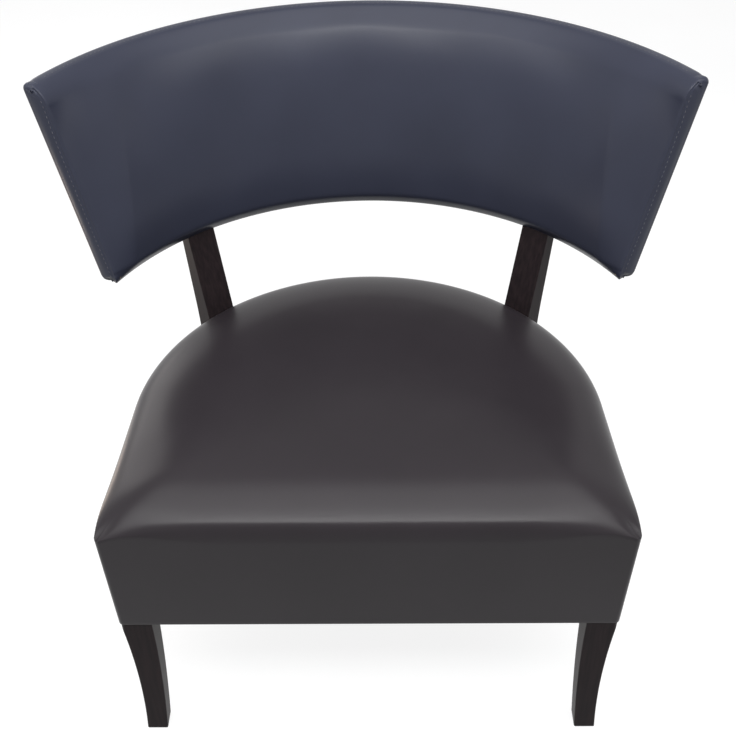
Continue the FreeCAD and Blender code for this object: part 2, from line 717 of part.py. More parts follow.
LONG_STRAPS, CROSS_STRAPS = 5, 4
long_places = [value("dims.long_strap_pitch") * (i - (LONG_STRAPS - 1) / 2) for i in range(LONG_STRAPS)]
cross_places = [value(f"dims.first_cross_strap + {i} * dims.cross_strap_pitch")
                for i in range(CROSS_STRAPS)]
strap_reach = value("dims.seat_half_width")
long_shapes = [
    woven_strap(True, place_x, cross_places, i, strap_reach).common(deck_plan.Shape)
    for i, place_x in enumerate(long_places)
]
cross_shapes = [
    woven_strap(False, place_y, long_places, i + 1, strap_reach).common(deck_plan.Shape)
    for i, place_y in enumerate(cross_places)
]
seat_webbing_long = add("Part::Feature", "seat_webbing_long")
seat_webbing_long.Shape = Part.makeCompound(long_shapes)
seat_webbing_cross = add("Part::Feature", "seat_webbing_cross")
seat_webbing_cross.Shape = Part.makeCompound(cross_shapes)
for webbing in (seat_webbing_long, seat_webbing_cross):
    in_seat_frame(webbing)

# Seat upholstery: levels of the crowned form as shares of the crown, insets and corner rounds
CROWN_LEVELS = [
    (0.00, 0, 6),
    (0.30, 3, 45),
    (0.54, 11, 95),
    (0.73, 29, 120),
    (0.87, 60, 110),
    (0.96, 102, 78),
    (1.00, 150, 38),
]


def seat_form(label, skin, foot):
    """The padded seat as a box with a crowned top, its surface set in by a skin."""
    body = new_body(label, in_seat_frame)
    low = new_sketch(body, f"{label}_low", height=foot)
    d_outline(low, f"dims.apron_tuck + {skin}", "dims.apron_corner")
    edge = new_sketch(body, f"{label}_edge", height=f"dims.seat_edge_height - {skin}")
    d_outline(edge, skin, "dims.apron_corner")
    loft(body, [low, edge], True)
    levels = []
    for i, (share, inset, corner) in enumerate(CROWN_LEVELS):
        level = new_sketch(body, f"{label}_level_{i}",
                           height=f"dims.seat_edge_height - {skin} + {share} * dims.seat_crown")
        d_outline(level, f"{inset} + {skin}", f"{corner}" if i else "dims.apron_corner")
        levels.append(level)
    loft(body, levels, False)
    return body


seat_outside = seat_form("seat_outside", "0", "dims.apron_bottom")
seat_inside = seat_form("seat_inside", "dims.vinyl", "dims.apron_bottom - dims.dust_cover")
below_deck = plank("below_deck", f"-{FAR}", f"-{FAR}", "0", f"2 * {FAR}", f"3 * {FAR}", DECK)
front_leg_pair = group("front_leg_pair", front_leg_blank, mirrored("front_leg_twin", front_leg_blank))

seat_cover = cut("seat_cover", seat_outside, seat_inside, rear_room_pair)
seat_foam = cut("seat_foam", seat_inside, below_deck, rear_room_pair)
floor_zone = plank("floor_zone", f"-{FAR}", f"-{FAR}", "0", f"2 * {FAR}", f"3 * {FAR}", RAIL_BOTTOM)
wadding_slab = common("wadding_slab", seat_inside, cut("wadding_heights", below_deck, floor_zone))
wadding_ring = cut("wadding_ring", wadding_slab, rail_prism, front_leg_pair, rear_room_pair)
between_legs = plank("between_legs", f"-{WAIST} * sin(dims.stile_azimuth)", "dims.seat_rim_centre", "0",
                     f"2 * {WAIST} * sin(dims.stile_azimuth)", FAR, FAR)
rear_wadding = common("rear_wadding", wadding_ring, between_legs)
side_wadding = cut("side_wadding", wadding_ring, between_legs)
cloth_blank = new_body("cloth_blank", in_seat_frame)
cloth_plan = new_sketch(cloth_blank, "cloth_plan", height=STRAPS_TOP)
d_outline(cloth_plan, "dims.frame_inset", "dims.apron_corner")
pad(cloth_blank, cloth_plan, "dims.deck_cloth")
seat_deck_cloth = cut("seat_deck_cloth", cloth_blank, rear_room_pair)
dust_blank = new_body("dust_blank", in_seat_frame)
dust_plan = new_sketch(dust_blank, "dust_plan", height="dims.apron_bottom")
d_outline(dust_plan, "dims.frame_inset + dims.vinyl", "dims.apron_corner")
pad(dust_blank, dust_plan, "dims.dust_cover")
dust_cover = cut("dust_cover", dust_blank, front_leg_pair, rear_room_pair)


# Back: envelope and core are the padded panel outside and inside its vinyl
def on_edge(shape, radius, height, span=1.0):
    """Names of the edges whose middle is at a radius and height about the back's axis."""
    names = []
    for i, edge in enumerate(shape.Edges, start=1):
        point = edge.valueAt((edge.FirstParameter + edge.LastParameter) / 2)
        if abs(math.hypot(point.x, point.y) - radius) < span and abs(point.z - height) < span:
            names.append(f"Edge{i}")
    return names


def back_form(label, skin):
    """The crowned back panel with rolled edges, its surface set in by a skin."""
    foot, head = f"(dims.back_bottom + {skin})", f"(dims.back_top - {skin})"
    rise = f"({head} - {foot})"
    crown_radius = (f"(({rise} / cos(dims.back_rake))^2 / 4 + dims.back_crown^2)"
                    " / (2 * dims.back_crown)")
    points = layer(skin, f"(dims.back_thickness - {skin})", foot, head)
    angle = f"(dims.back_half_angle - {skin} / {BACK_RADIUS} * 180 / pi)"
    body, shape = turned(label, points, angle, {3: f"-({crown_radius})"})
    doc.recompute()
    corners = (
        (points[3], "top_roll"), (points[0], "bottom_roll"),
        (points[2], "rear_round"), (points[1], "rear_round"),
    )
    for i, ((radius, height), size) in enumerate(corners):
        names = on_edge(shape.Shape, value(radius), value(height))
        rounded = body.newObject("PartDesign::Fillet", f"{label}_round_{i}")
        rounded.Base = (shape, names)
        rounded.setExpression("Radius", f"dims.{size} - {skin}")
        doc.recompute()
        shape = rounded
    limit = math.radians(value(angle))
    ends = [
        f"Edge{i}" for i, edge in enumerate(shape.Shape.Edges, start=1)
        if all(abs(abs(math.atan2(v.Point.y, v.Point.x)) - limit) < 1e-4 for v in edge.Vertexes)
        and edge.BoundBox.YLength < value(BACK_RADIUS)
    ]
    rounded = body.newObject("PartDesign::Fillet", f"{label}_ends")
    rounded.Base = (shape, ends)
    rounded.setExpression("Radius", f"dims.end_round - {skin}")
    return body


back_outside = back_form("back_outside", "0")
back_inside = back_form("back_inside", "dims.vinyl")

BOARD_ANGLE = f"(dims.back_half_angle - {END_GAP_ANGLE})"
BEYOND = "(2 * dims.back_thickness)"
frame_zone, _ = turned("frame_zone", layer(BOARD_FRONT, BEYOND, BOARD_FOOT, BOARD_HEAD), BOARD_ANGLE)
board_blank, _ = turned(
    "board_blank", layer(BOARD_FRONT, BOARD_BACK, BOARD_FOOT, BOARD_HEAD), BOARD_ANGLE)

seam_head = "(dims.back_thickness - dims.seam_from_rear)"
seam_foot = "dims.seam_under"
seam_step = f"({BOARD_HEAD} - dims.rear_round)"
low, high = "(dims.back_bottom - dims.back_thickness)", "(dims.back_top + dims.back_thickness)"
rear_zone, _ = turned("rear_zone", [
    (f"{back_line(low)} + {seam_foot}", low),
    (f"{back_line(low)} + {BEYOND}", low),
    (f"{back_line(high)} + {BEYOND}", high),
    (f"{back_line(high)} + {seam_head}", high),
    (f"{back_line(seam_step)} + {seam_head}", seam_step),
    (f"{back_line(seam_step)} + {seam_foot}", seam_step),
], "dims.back_half_angle + 2 * dims.boxing_turn")
middle_zone, _ = turned(
    "middle_zone", layer(f"-{BEYOND}", BEYOND, low, high), f"dims.back_half_angle - {BOXING_ANGLE}")

back_skin = cut("back_skin", back_outside, back_inside, rear_room_pair)
right_side = add("Part::Box", "right_side", Length=FAR, Width=f"2 * {FAR}", Height=f"2 * {FAR}")
place(right_side, y=f"-{FAR}")
middle_skin = common("middle_skin", back_skin, middle_zone)
back_outside_cover = common("back_outside_cover", middle_skin, rear_zone)
back_inside_cover = cut("back_inside_cover", middle_skin, rear_zone)
end_skins = cut("end_skins", back_skin, middle_zone)
back_end_boxing_right = common("back_end_boxing_right", end_skins, right_side)
back_foam = cut("back_foam", back_inside, frame_zone, rear_room_pair)

# Back frame: two bent rails, each parted at the stiles, and a post at each end
slot_box = add("Part::Box", "slot_box", Length=FAR, Width="dims.stile_width", Height=STILE_HEAD)
place(slot_box, y="-dims.stile_width / 2")
stile_slot = in_leg_frame(group("stile_slot", slot_box))
stile_slots = group("stile_slots", stile_slot, mirrored("stile_slot_left", stile_slot))
RAIL_HEADS = {
    "top": (f"({BOARD_HEAD} - dims.back_rail_height)", BOARD_HEAD),
    "bottom": (BOARD_FOOT, f"({BOARD_FOOT} + dims.back_rail_height)"),
}
POST_ANGLE = f"({BOARD_ANGLE} - dims.end_post_width / {BACK_RADIUS} * 180 / pi)"
post_zone, _ = turned("post_zone", layer(BOARD_BACK, FRAME_BACK, BOARD_FOOT, BOARD_HEAD), BOARD_ANGLE)
inner_zone, _ = turned("inner_zone", layer("0", BEYOND, low, high), POST_ANGLE)
centre_zone, _ = turned("centre_zone", layer("0", BEYOND, low, high), "dims.stile_azimuth")
end_posts = cut("end_posts", post_zone, inner_zone)
end_post_blank = common("end_post_blank", end_posts, right_side)
rail_blanks = {}
for name, (foot, head) in RAIL_HEADS.items():
    bent, _ = turned(f"back_{name}_bend", layer(BOARD_BACK, FRAME_BACK, foot, head), POST_ANGLE)
    parted = cut(f"back_{name}_parted", bent, stile_slots)
    rail_blanks[name, "centre"] = common(f"back_{name}_centre", parted, centre_zone)
    outer = cut(f"back_{name}_outer", parted, centre_zone)
    rail_blanks[name, "right"] = common(f"back_{name}_wing", outer, right_side)

# Screws that hold the board to the rails and posts, and bolts that hold it to the stiles
SCREW_SPOTS = [(12, 0.5), (26, 0.5), (52, 0.5)]


def board_fixing(label, radius, length, front, height, azimuth):
    """A round bar square to the raked board, its near end at a depth from the front face."""
    bar = rod(label, radius, length,
              f"{back_line(height)} + {front}", z=height, turn="90 + dims.back_rake")
    held = group(f"{label}_at", bar)
    return place(held, y=BACK_AXIS, turn=f"90 - ({azimuth})")


board_screws_right = [
    board_fixing("post_screw", "dims.screw_radius", "dims.board_screw_length", BOARD_FRONT,
                 f"({BOARD_FOOT} + {share} * ({BOARD_HEAD} - {BOARD_FOOT}))",
                 f"({BOARD_ANGLE} + {POST_ANGLE}) / 2")
    for share in (0.35, 0.65)
]
for foot, head in RAIL_HEADS.values():
    for azimuth, share in SCREW_SPOTS:
        height = f"({foot} + {share} * dims.back_rail_height)"
        board_screws_right.append(board_fixing(
            "board_screw", "dims.screw_radius", "dims.board_screw_length",
            BOARD_FRONT, height, f"{azimuth}"))
right_board_screws = group("right_board_screws", *board_screws_right)
board_screws = group("board_screws", right_board_screws,
                     mirrored("left_board_screws", right_board_screws))

stile_bolt_list, tee_nut_list = [], []
STILE_SPAN = (f"(({FRAME_BACK} - {BOARD_FRONT}) * cos(dims.back_rake)"
              " - dims.tee_nut_flange - 2 * dims.stile_ease)")
for level in (-0.5, 0.5):
    height = f"(({BOARD_FOOT} + {STILE_HEAD}) / 2 + {level} * dims.stile_bolt_spacing)"
    stile_bolt_list.append(board_fixing(
        "stile_bolt", "dims.stile_bolt_radius", STILE_SPAN,
        f"{BOARD_FRONT} + dims.tee_nut_flange / cos(dims.back_rake)", height, "dims.stile_azimuth"))
    tee_nut_list.append(board_fixing(
        "tee_nut", "dims.tee_nut_radius", "dims.tee_nut_flange",
        f"{BOARD_FRONT}", height, "dims.stile_azimuth"))
right_stile_bolts = group("right_stile_bolts", *stile_bolt_list)
stile_bolts = group("stile_bolts", right_stile_bolts, mirrored("left_stile_bolts", right_stile_bolts))
right_tee_nuts = group("right_tee_nuts", *tee_nut_list)
tee_nuts = group("tee_nuts", right_tee_nuts, mirrored("left_tee_nuts", right_tee_nuts))
back_board = cut("back_board", board_blank, board_screws, stile_bolts, tee_nuts)
back_end_post_right = cut("back_end_post_right", end_post_blank, board_screws)
rear_leg_right.Tool.Links = rear_leg_right.Tool.Links + [stile_bolts]
back_rails = {
    (name, part): cut(f"back_{name}_rail_{part}", blank, board_screws)
    for (name, part), blank in rail_blanks.items()
}

# The finished pieces, each of which is a node; left-hand twins are mirrored
single = [
    seat_front_rail, seat_back_rail, frame_dowels, rear_leg_bolts, rear_leg_washers,
    rear_leg_inserts, corner_bolts, corner_nuts, block_screws, seat_webbing_long,
    seat_webbing_cross, seat_deck_cloth, seat_foam, side_wadding, rear_wadding, seat_cover, dust_cover, glides,
    back_board, back_foam, back_inside_cover, back_outside_cover, board_screws,
    stile_bolts, tee_nuts, back_rails["top", "centre"], back_rails["bottom", "centre"],
]
handed = [
    front_leg_right, rear_leg_right, seat_side_rail_right, corner_block_right, splice_block_right,
    back_end_boxing_right, back_end_post_right,
    back_rails["top", "right"], back_rails["bottom", "right"],
]
nodes = single + handed + [mirrored(p.Label.replace("right", "left"), p) for p in handed]
doc.recompute()

for item in doc.Objects:
    if "Invalid" in item.State or "Error" in item.State:
        raise RuntimeError(f"{item.Label} failed: {item.State}")
for node in nodes:
    if node.Shape.isNull() or not node.Shape.isValid() or not node.Shape.Solids:
        raise RuntimeError(f"{node.Label} has no sound shape")
for node in nodes:
    node.Shape.exportStep(f"parts/{node.Label}.step")
    print(node.Label, len(node.Shape.Solids), "solids", round(node.Shape.Volume), "mm3")
whole = Part.makeCompound([node.Shape for node in nodes]).BoundBox
print("nodes", len(nodes), "box", whole)
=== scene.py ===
"""Covers, foam, stitching and finishes of a low vinyl lounge chair, and the studio it stands in.

Everything is in metres in the part's frame: the chair faces -Y and stands on z = 0.
The covers of the seat and the back are worked out as grids and swelled by a cloth run. They and
the foam under them stand for nodes of the part, and every other node is shown as it is.
"""
import json
import math

import bpy
import numpy as np
from bpy.props import FloatProperty, FloatVectorProperty, PointerProperty
from mathutils import Matrix, Vector


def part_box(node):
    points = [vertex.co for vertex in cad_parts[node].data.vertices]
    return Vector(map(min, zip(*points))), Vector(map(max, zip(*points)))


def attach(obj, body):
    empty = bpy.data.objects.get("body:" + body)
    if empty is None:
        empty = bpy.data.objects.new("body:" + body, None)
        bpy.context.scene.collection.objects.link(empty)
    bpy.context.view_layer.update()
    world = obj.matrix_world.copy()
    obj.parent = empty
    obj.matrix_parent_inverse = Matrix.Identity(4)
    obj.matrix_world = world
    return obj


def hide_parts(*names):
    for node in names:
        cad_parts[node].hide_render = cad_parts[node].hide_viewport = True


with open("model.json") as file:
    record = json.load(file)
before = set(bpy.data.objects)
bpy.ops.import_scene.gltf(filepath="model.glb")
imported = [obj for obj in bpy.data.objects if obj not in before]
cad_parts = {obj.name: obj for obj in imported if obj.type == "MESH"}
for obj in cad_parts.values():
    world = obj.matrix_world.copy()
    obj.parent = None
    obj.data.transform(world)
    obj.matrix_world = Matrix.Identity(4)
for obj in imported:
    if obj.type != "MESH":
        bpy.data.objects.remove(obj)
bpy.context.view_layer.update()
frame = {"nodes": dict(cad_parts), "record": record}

bl_info = {
    "name": "Curved-back lounge chair",
    "version": (1, 0, 0),
    "blender": (4, 5, 0),
    "location": "3D Viewport > Sidebar > Lounge chair",
    "description": "Upholstery, stitching and finishes of a low lounge chair",
    "category": "Object",
}

BODY = "root"
SEAT_FRONT_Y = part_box("seat_cover")[0][1]
AXIS_BEHIND_FRONT = 0.186
BACK_AXIS_Y = SEAT_FRONT_Y + AXIS_BEHIND_FRONT
SHARP_EDGE = math.radians(55)


# Grids and meshes
def grid_quads(rows, columns, closed=False):
    """Corner numbers of every quad of a grid; closed joins the last column to the first."""
    number = np.arange(rows * columns).reshape(rows, columns)
    right = np.roll(number, -1, axis=1)
    if not closed:
        number, right = number[:, :-1], right[:, :-1]
    return np.stack([number[:-1], right[:-1], right[1:], number[1:]], axis=-1).reshape(-1, 4)


def fan(ring, pole):
    """Triangles from each step of a ring of point numbers to one pole."""
    return np.stack([ring, np.roll(ring, -1), np.full(len(ring), pole)], axis=-1)


def new_mesh(name, points, *faces):
    """A mesh of points and one or more arrays of quads or triangles, smooth shaded."""
    mesh = bpy.data.meshes.new(name)
    corners = [face for block in faces for face in block.tolist()]
    mesh.from_pydata(points.reshape(-1, 3).tolist(), [], corners)
    mesh.shade_smooth()
    mesh.set_sharp_from_angle(angle=SHARP_EDGE)
    mesh.update()
    return mesh


def new_piece(name, mesh, material):
    """A finished piece on the chair's one body, with its material."""
    piece = bpy.data.objects.new(name, mesh)
    bpy.context.scene.collection.objects.link(piece)
    piece.data.materials.append(material)
    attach(piece, BODY)
    return piece


def unit(vectors):
    """Vectors over their own lengths, and nothing where a length is nothing."""
    length = np.linalg.norm(vectors, axis=-1, keepdims=True)
    return vectors / np.where(length > 1e-12, length, 1.0)


def grid_normals(points, closed=False):
    """Outward unit normals: the cross product of the steps along columns and rows."""
    if closed:
        across = np.roll(points, -1, axis=1) - np.roll(points, 1, axis=1)
    else:
        across = np.gradient(points, axis=1)
    return unit(np.cross(across, np.gradient(points, axis=0)))


def arc(centre, radius, start, end, count):
    """Points at equal angles on a circle, the first and the last included."""
    angle = np.linspace(start, end, count)
    return np.stack([centre[0] + radius * np.cos(angle), centre[1] + radius * np.sin(angle)], axis=-1)


def line(start, end, count):
    """Points at equal steps on a straight line, the first and the last included."""
    share = np.linspace(0, 1, count)[:, None]
    return np.asarray(start) * (1 - share) + np.asarray(end) * share


def chain(*runs):
    """Runs of points joined end to end, each later one without its first point."""
    return np.concatenate([runs[0]] + [run[1:] for run in runs[1:]])


def spread(fine_count, coarse_count, closed):
    """Matrix that spreads values on a coarse row of knots over a fine row of points.

    Each fine point takes its four nearest knots, weighted by the cubic B-spline.
    """
    steps = coarse_count if closed else coarse_count - 1
    spans = fine_count if closed else fine_count - 1
    place = np.arange(fine_count) * (steps / spans)
    whole = np.floor(place).astype(int)
    part = place - whole
    weights = np.stack([
        (1 - part) ** 3, 3 * part ** 3 - 6 * part ** 2 + 4,
        -3 * part ** 3 + 3 * part ** 2 + 3 * part + 1, part ** 3,
    ], axis=-1) / 6
    table = np.zeros((fine_count, coarse_count))
    for offset in range(4):
        knot = whole + offset - 1
        knot = knot % coarse_count if closed else np.clip(knot, 0, coarse_count - 1)
        np.add.at(table, (np.arange(fine_count), knot), weights[:, offset])
    return table


def bump(value, middle, width):
    """A smooth hump of height one about a middle, gone by about two widths."""
    return np.exp(-((value - middle) / width) ** 2)


def smooth_step(value):
    """Nothing below 0, one above 1, and a smooth rise between."""
    share = np.clip(value, 0, 1)
    return share * share * (3 - 2 * share)


# Cloth
AIR_PRESSURE = 4.0
SWELL_FRAMES = 20


def swelled(points, faces, held):
    """The way of each point of a cover after air has pushed it out for some frames.

    held is 1 where the cover is fastened and 0 where it is free.
    """
    mesh = new_mesh("swelling", points, *faces)
    cover = bpy.data.objects.new("swelling", mesh)
    scene = bpy.context.scene
    scene.collection.objects.link(cover)
    group = cover.vertex_groups.new(name="fastened")
    levels = np.round(held, 1)
    for level in np.unique(levels[levels > 0]):
        group.add(np.flatnonzero(levels == level).tolist(), float(level), "REPLACE")
    cloth = cover.modifiers.new("Cloth", "CLOTH")
    settings = cloth.settings
    settings.quality = 6
    settings.mass = 0.3
    settings.tension_stiffness = settings.compression_stiffness = settings.shear_stiffness = 25
    settings.bending_stiffness = 8
    settings.use_pressure = True
    settings.uniform_pressure_force = AIR_PRESSURE
    settings.vertex_group_mass = "fastened"
    settings.effector_weights.gravity = 0
    cloth.collision_settings.use_collision = False
    cloth.point_cache.frame_start, cloth.point_cache.frame_end = 1, SWELL_FRAMES
    for step in range(SWELL_FRAMES):
        scene.frame_set(step + 1)
    result = cover.evaluated_get(bpy.context.evaluated_depsgraph_get())
    moved = np.empty(len(mesh.vertices) * 3)
    result.data.vertices.foreach_get("co", moved)
    scene.frame_set(1)
    bpy.data.objects.remove(cover)
    bpy.data.meshes.remove(mesh)
    return moved.reshape(-1, 3) - points.reshape(-1, 3)


def swell_height(way, normal, cap, passes):
    """How far a cloth's way leads outward on its grid, evened out.

    The outward part is the dot product with the normal. It becomes cap * tanh(part / cap), so no
    point moves further than cap and the limit leaves no edge. Each pass then weighs every point
    1 : 2 : 1 with its neighbours along the columns and along the rows.
    """
    out = np.clip(np.sum(way * normal, axis=-1), 0, None)
    out = cap * np.tanh(out / cap)
    for _ in range(passes):
        out = (np.roll(out, 1, axis=1) + 2 * out + np.roll(out, -1, axis=1)) / 4
        tall = np.pad(out, ((1, 1), (0, 0)), mode="edge")
        out = (tall[:-2] + 2 * out + tall[2:]) / 4
    return out


def spread_swell(out, rows, columns):
    """A swell on a coarse grid, closed round its columns, spread over a fine grid."""
    return spread(rows, out.shape[0], False) @ out @ spread(columns, out.shape[1], True).T


# Seat cover
SEAT_ROWS = {"lip": 2, "hem": 4, "turn": 6, "apron": 30, "crown": 66, "top": 32}
OUTLINE_PARTS = {"front": 66, "bend": 34, "flank": 40, "rim": 100}

# The apron's foot lies inside the rim, turns under in a small round and ends in a hem and a lip.
APRON_LEAN, FOOT_ROUND = 0.0054, 0.0015
HEM_START, HEM_END, LIP_INSET = 0.001, 0.011, 0.012
LIP_HEIGHTS = (0.0022, 0.0008)

# The crown is this wide, and the plan's corner round opens from the rim inwards.
CROWN_WIDTH, CROWN_CROWDING = 0.150, 0.8
CORNER_ROUND, CORNER_OPENING, OPENING_REACH, CORNER_CLOSING = 0.006, 0.055, 0.025, 0.1
CORNER_SHOULDER, CORNER_FADE, CORNER_BLEND = 0.033, 0.15, 0.008
FRONT_EDGE = {"width": 0.088, "power": 2.4, "edge": 0.019, "reach": 0.012}
SIDE_EDGE = {"width": 0.100, "power": 2.2, "edge": 0.021, "reach": 0.036}
SEAT_MIDDLE = (0, 0.238, 0)

# The rim is held, and the cover is let free to swell over the next stretch inwards.
HELD_WIDTH, FREEING_WIDTH = 0.002, 0.05
SEAT_SWELL_STEP, SEAT_SWELL_PASSES, SEAT_SWELL_LEVEL_ROWS = 3, 12, 4
SEAT_FOAM_INSET, DECK_CLEARANCE = 0.004, 0.004


def seat_outline(inset, corner, half_width, rim_radius, rim_centre):
    """The seat's D-shaped outline for whole columns of insets and corner rounds.

    Half the outline, from the middle of the front: a straight front, a round corner, a straight
    side that meets the rim's circle on its tangent, and a quarter of the rim. Equal counts of
    points lie on each part whatever the inset, so outlines stack into a grid. The other half
    mirrors it.
    """
    inset, corner = np.asarray(inset, float)[:, None], np.asarray(corner, float)[:, None]
    radius = rim_radius - inset
    tip_x, tip_y = half_width - inset, inset
    reach = np.hypot(tip_x, tip_y - rim_centre)
    touch = np.arctan2(tip_y - rim_centre, tip_x) + np.arccos(np.clip(radius / reach, -1, 1))
    end_x, end_y = radius * np.cos(touch), rim_centre + radius * np.sin(touch)
    side = np.hypot(end_x - tip_x, end_y - tip_y)
    along_x, along_y = (end_x - tip_x) / side, (end_y - tip_y) / side
    trim = corner / np.tan(np.arccos(-along_x) / 2)
    centre_x, centre_y = tip_x - trim, tip_y + corner
    start_x, start_y = tip_x + along_x * trim, tip_y + along_y * trim
    lean = np.arctan2(start_y - centre_y, start_x - centre_x)
    front, bend, flank, rim = OUTLINE_PARTS.values()
    share = (np.arange(front) / front)[None]
    parts = [(share * centre_x, tip_y + 0 * share)]
    share = (np.arange(bend) / bend)[None]
    angle = -math.pi / 2 + share * (lean + math.pi / 2)
    parts.append((centre_x + corner * np.cos(angle), centre_y + corner * np.sin(angle)))
    share = (np.arange(flank) / flank)[None]
    parts.append((start_x + share * (end_x - start_x), start_y + share * (end_y - start_y)))
    share = (np.arange(rim + 1) / rim)[None]
    angle = touch + share * (math.pi / 2 - touch)
    parts.append((radius * np.cos(angle), rim_centre + radius * np.sin(angle)))
    half = np.stack([np.concatenate([part[axis] for part in parts], axis=1) for axis in (0, 1)], axis=-1)
    other = half[:, 1:-1][:, ::-1] * np.array([-1.0, 1.0])
    return np.concatenate([half, other], axis=1)


def edge_drop(inset, shoulder, along, width, power, edge, reach):
    """How far the crown lies under its top at a distance from one edge.

    A shoulder steepens towards the edge by a power. The last part, over its reach, is rounded by
    one less the root of one less the cube of its nearness, and ends upright. along is 1 on the
    edge and falls to 0 at its corners, where the shoulder is the corner's and nothing is rounded.
    """
    fall = CORNER_SHOULDER - (CORNER_SHOULDER - shoulder) * along
    near = np.clip(1 - inset / reach, 0, 1)
    rounding = edge * along * (1 - np.sqrt(1 - near ** 3))
    return fall * np.clip(1 - inset / width, 0, 1) ** power + rounding


def edge_distances(plan, inset, sizes):
    """Distances of plan points from the front line and from the side and rim of the outline.

    The side is the line from the front corner to its tangent point on the rim's circle; beyond
    that point the circle counts. Near the outline both are lessened by what the rounded corner
    adds, so a point on the outline has one distance of nothing.
    """
    x, y = np.abs(plan[..., 0]), plan[..., 1]
    radius, centre = sizes.rim_radius, sizes.rim_centre
    reach = math.hypot(sizes.half_width, centre)
    touch = math.atan2(-centre, sizes.half_width) + math.acos(radius / reach)
    end = np.array([radius * math.cos(touch), centre + radius * math.sin(touch)])
    along = unit(end - np.array([sizes.half_width, 0]))
    way = (x - sizes.half_width) * along[0] + y * along[1]
    side = (sizes.half_width - x) * along[1] + y * along[0]
    length = math.sqrt(reach ** 2 - radius ** 2)
    side = np.where(way < length, side, radius - np.hypot(x, y - centre))
    inset = inset[:, None]
    extra = (np.minimum(side, y) - inset) * np.exp(-inset / CORNER_BLEND)
    return np.maximum(y - extra, 0), np.maximum(side - extra, 0)


def crown_height(plan, inset, sizes):
    """Height of the crown: a front roll and full sides that run out into sharp corners.

    The two drops are joined by the root of the sum of their squares. Towards the corners the
    round edges give way to steeper shoulders, which leaves the tips sharp.
    """
    front, side = edge_distances(plan, inset, sizes)
    in_front = smooth_step((sizes.half_width - np.abs(plan[..., 0])) / CORNER_FADE)
    behind = smooth_step(plan[..., 1] / CORNER_FADE)
    front_drop = edge_drop(front, sizes.front_shoulder, in_front, **FRONT_EDGE)
    side_drop = edge_drop(side, sizes.side_shoulder, behind, **SIDE_EDGE)
    return sizes.crown_top - np.hypot(front_drop, side_drop)


def seat_grid(sizes):
    """Rows of the seat cover from its turned-in hem to the middle of its crowned top.

    The hem runs in under the frame, turns up round the foot of the apron, and the apron rises to
    the rim while it leans out. Inside the crown the last outline shrinks to the middle over a
    shallow dome. The last result is how free each row is to swell.
    """
    foot, lean, turn = sizes.apron_bottom, APRON_LEAN, FOOT_ROUND
    angle = np.linspace(0, math.pi / 2, SEAT_ROWS["crown"] + 1)
    crown_inset = CROWN_WIDTH * (1 - np.cos(angle) ** CROWN_CROWDING)

    def plan_of(inset, above):
        """Outlines at insets, with a corner that opens towards a limit and then closes slowly."""
        opening = CORNER_OPENING * (1 - np.exp(-above / OPENING_REACH))
        corner = CORNER_ROUND + opening - CORNER_CLOSING * above
        return seat_outline(inset, corner, sizes.half_width, sizes.rim_radius, sizes.rim_centre)

    crown_plan = plan_of(crown_inset, crown_inset)
    crown = crown_height(crown_plan, crown_inset, sizes)
    rim = crown[:1]
    angle = np.linspace(0, math.pi / 2, SEAT_ROWS["turn"])
    share = np.linspace(0, 1, SEAT_ROWS["apron"] + 1)[1:]
    inset = np.concatenate([
        np.full(SEAT_ROWS["lip"], lean + LIP_INSET),
        np.linspace(lean + HEM_END, lean + turn + HEM_START, SEAT_ROWS["hem"]),
        lean + turn - turn * np.sin(angle),
        lean * (1 - share),
    ])
    level = np.concatenate([
        foot + np.linspace(*LIP_HEIGHTS, SEAT_ROWS["lip"]),
        np.full(SEAT_ROWS["hem"], foot),
        foot + turn - turn * np.cos(angle),
    ])[:, None]
    rise = foot + turn + (rim - foot - turn) * share[:, None]
    height = np.concatenate([np.broadcast_to(level, (len(level), rim.size)), rise])
    skirt = np.concatenate([plan_of(inset, 0 * inset), height[:, :, None]], axis=2)
    rows = np.concatenate([skirt, np.concatenate([crown_plan, crown[:, :, None]], axis=2)[1:]])
    middle = np.array(SEAT_MIDDLE)
    share = np.linspace(1, 0, SEAT_ROWS["top"] + 1)[1:-1, None, None]
    dome = rows[-1][None] * np.array([1, 1, 0]) * share + middle * (1 - share)
    dome[..., 2] = (rows[-1][None, :, 2:] + sizes.dome * (1 - share ** 2) ** 2)[..., 0]
    grid = np.concatenate([rows, dome])
    pole = middle + np.array([0, 0, sizes.crown_top + sizes.dome])
    free = np.concatenate([np.zeros(len(skirt)), crown_inset[1:], np.full(len(dome), CROWN_WIDTH)])
    return grid, pole, smooth_step((free - HELD_WIDTH) / FREEING_WIDTH)


def seat_foam(grid, pole, deck, material):
    """The foam under the cover: the cover's form moved in along its normals, cut flat at the webbing."""
    rows = np.flatnonzero((grid[..., 2] > deck + DECK_CLEARANCE).all(axis=1))
    top = (grid - grid_normals(grid, closed=True) * SEAT_FOAM_INSET)[rows[0]:]
    foot = top[:1] * np.array([1, 1, 0]) + np.array([0, 0, deck])
    block = np.concatenate([foot, top])
    high, low = pole - np.array([0, 0, SEAT_FOAM_INSET]), np.array([pole[0], pole[1], deck])
    count, columns = block.shape[:2]
    points = np.concatenate([block.reshape(-1, 3), high[None], low[None]])
    last = (count - 1) * columns + np.arange(columns)
    mesh = new_mesh("seat_foam_block", points, grid_quads(count, columns, closed=True),
                    fan(last, len(points) - 2), fan(np.arange(columns)[::-1], len(points) - 1))
    piece = new_piece("seat_foam_block", mesh, material)
    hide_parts("seat_foam")


def domed(grid, pole):
    """Points and faces of a grid that is closed round its columns and by a pole at its last row."""
    rows, columns = grid.shape[:2]
    points = np.concatenate([grid.reshape(-1, 3), pole[None]])
    ring = (rows - 1) * columns + np.arange(columns)
    return points, (grid_quads(rows, columns, closed=True), fan(ring, len(points) - 1))


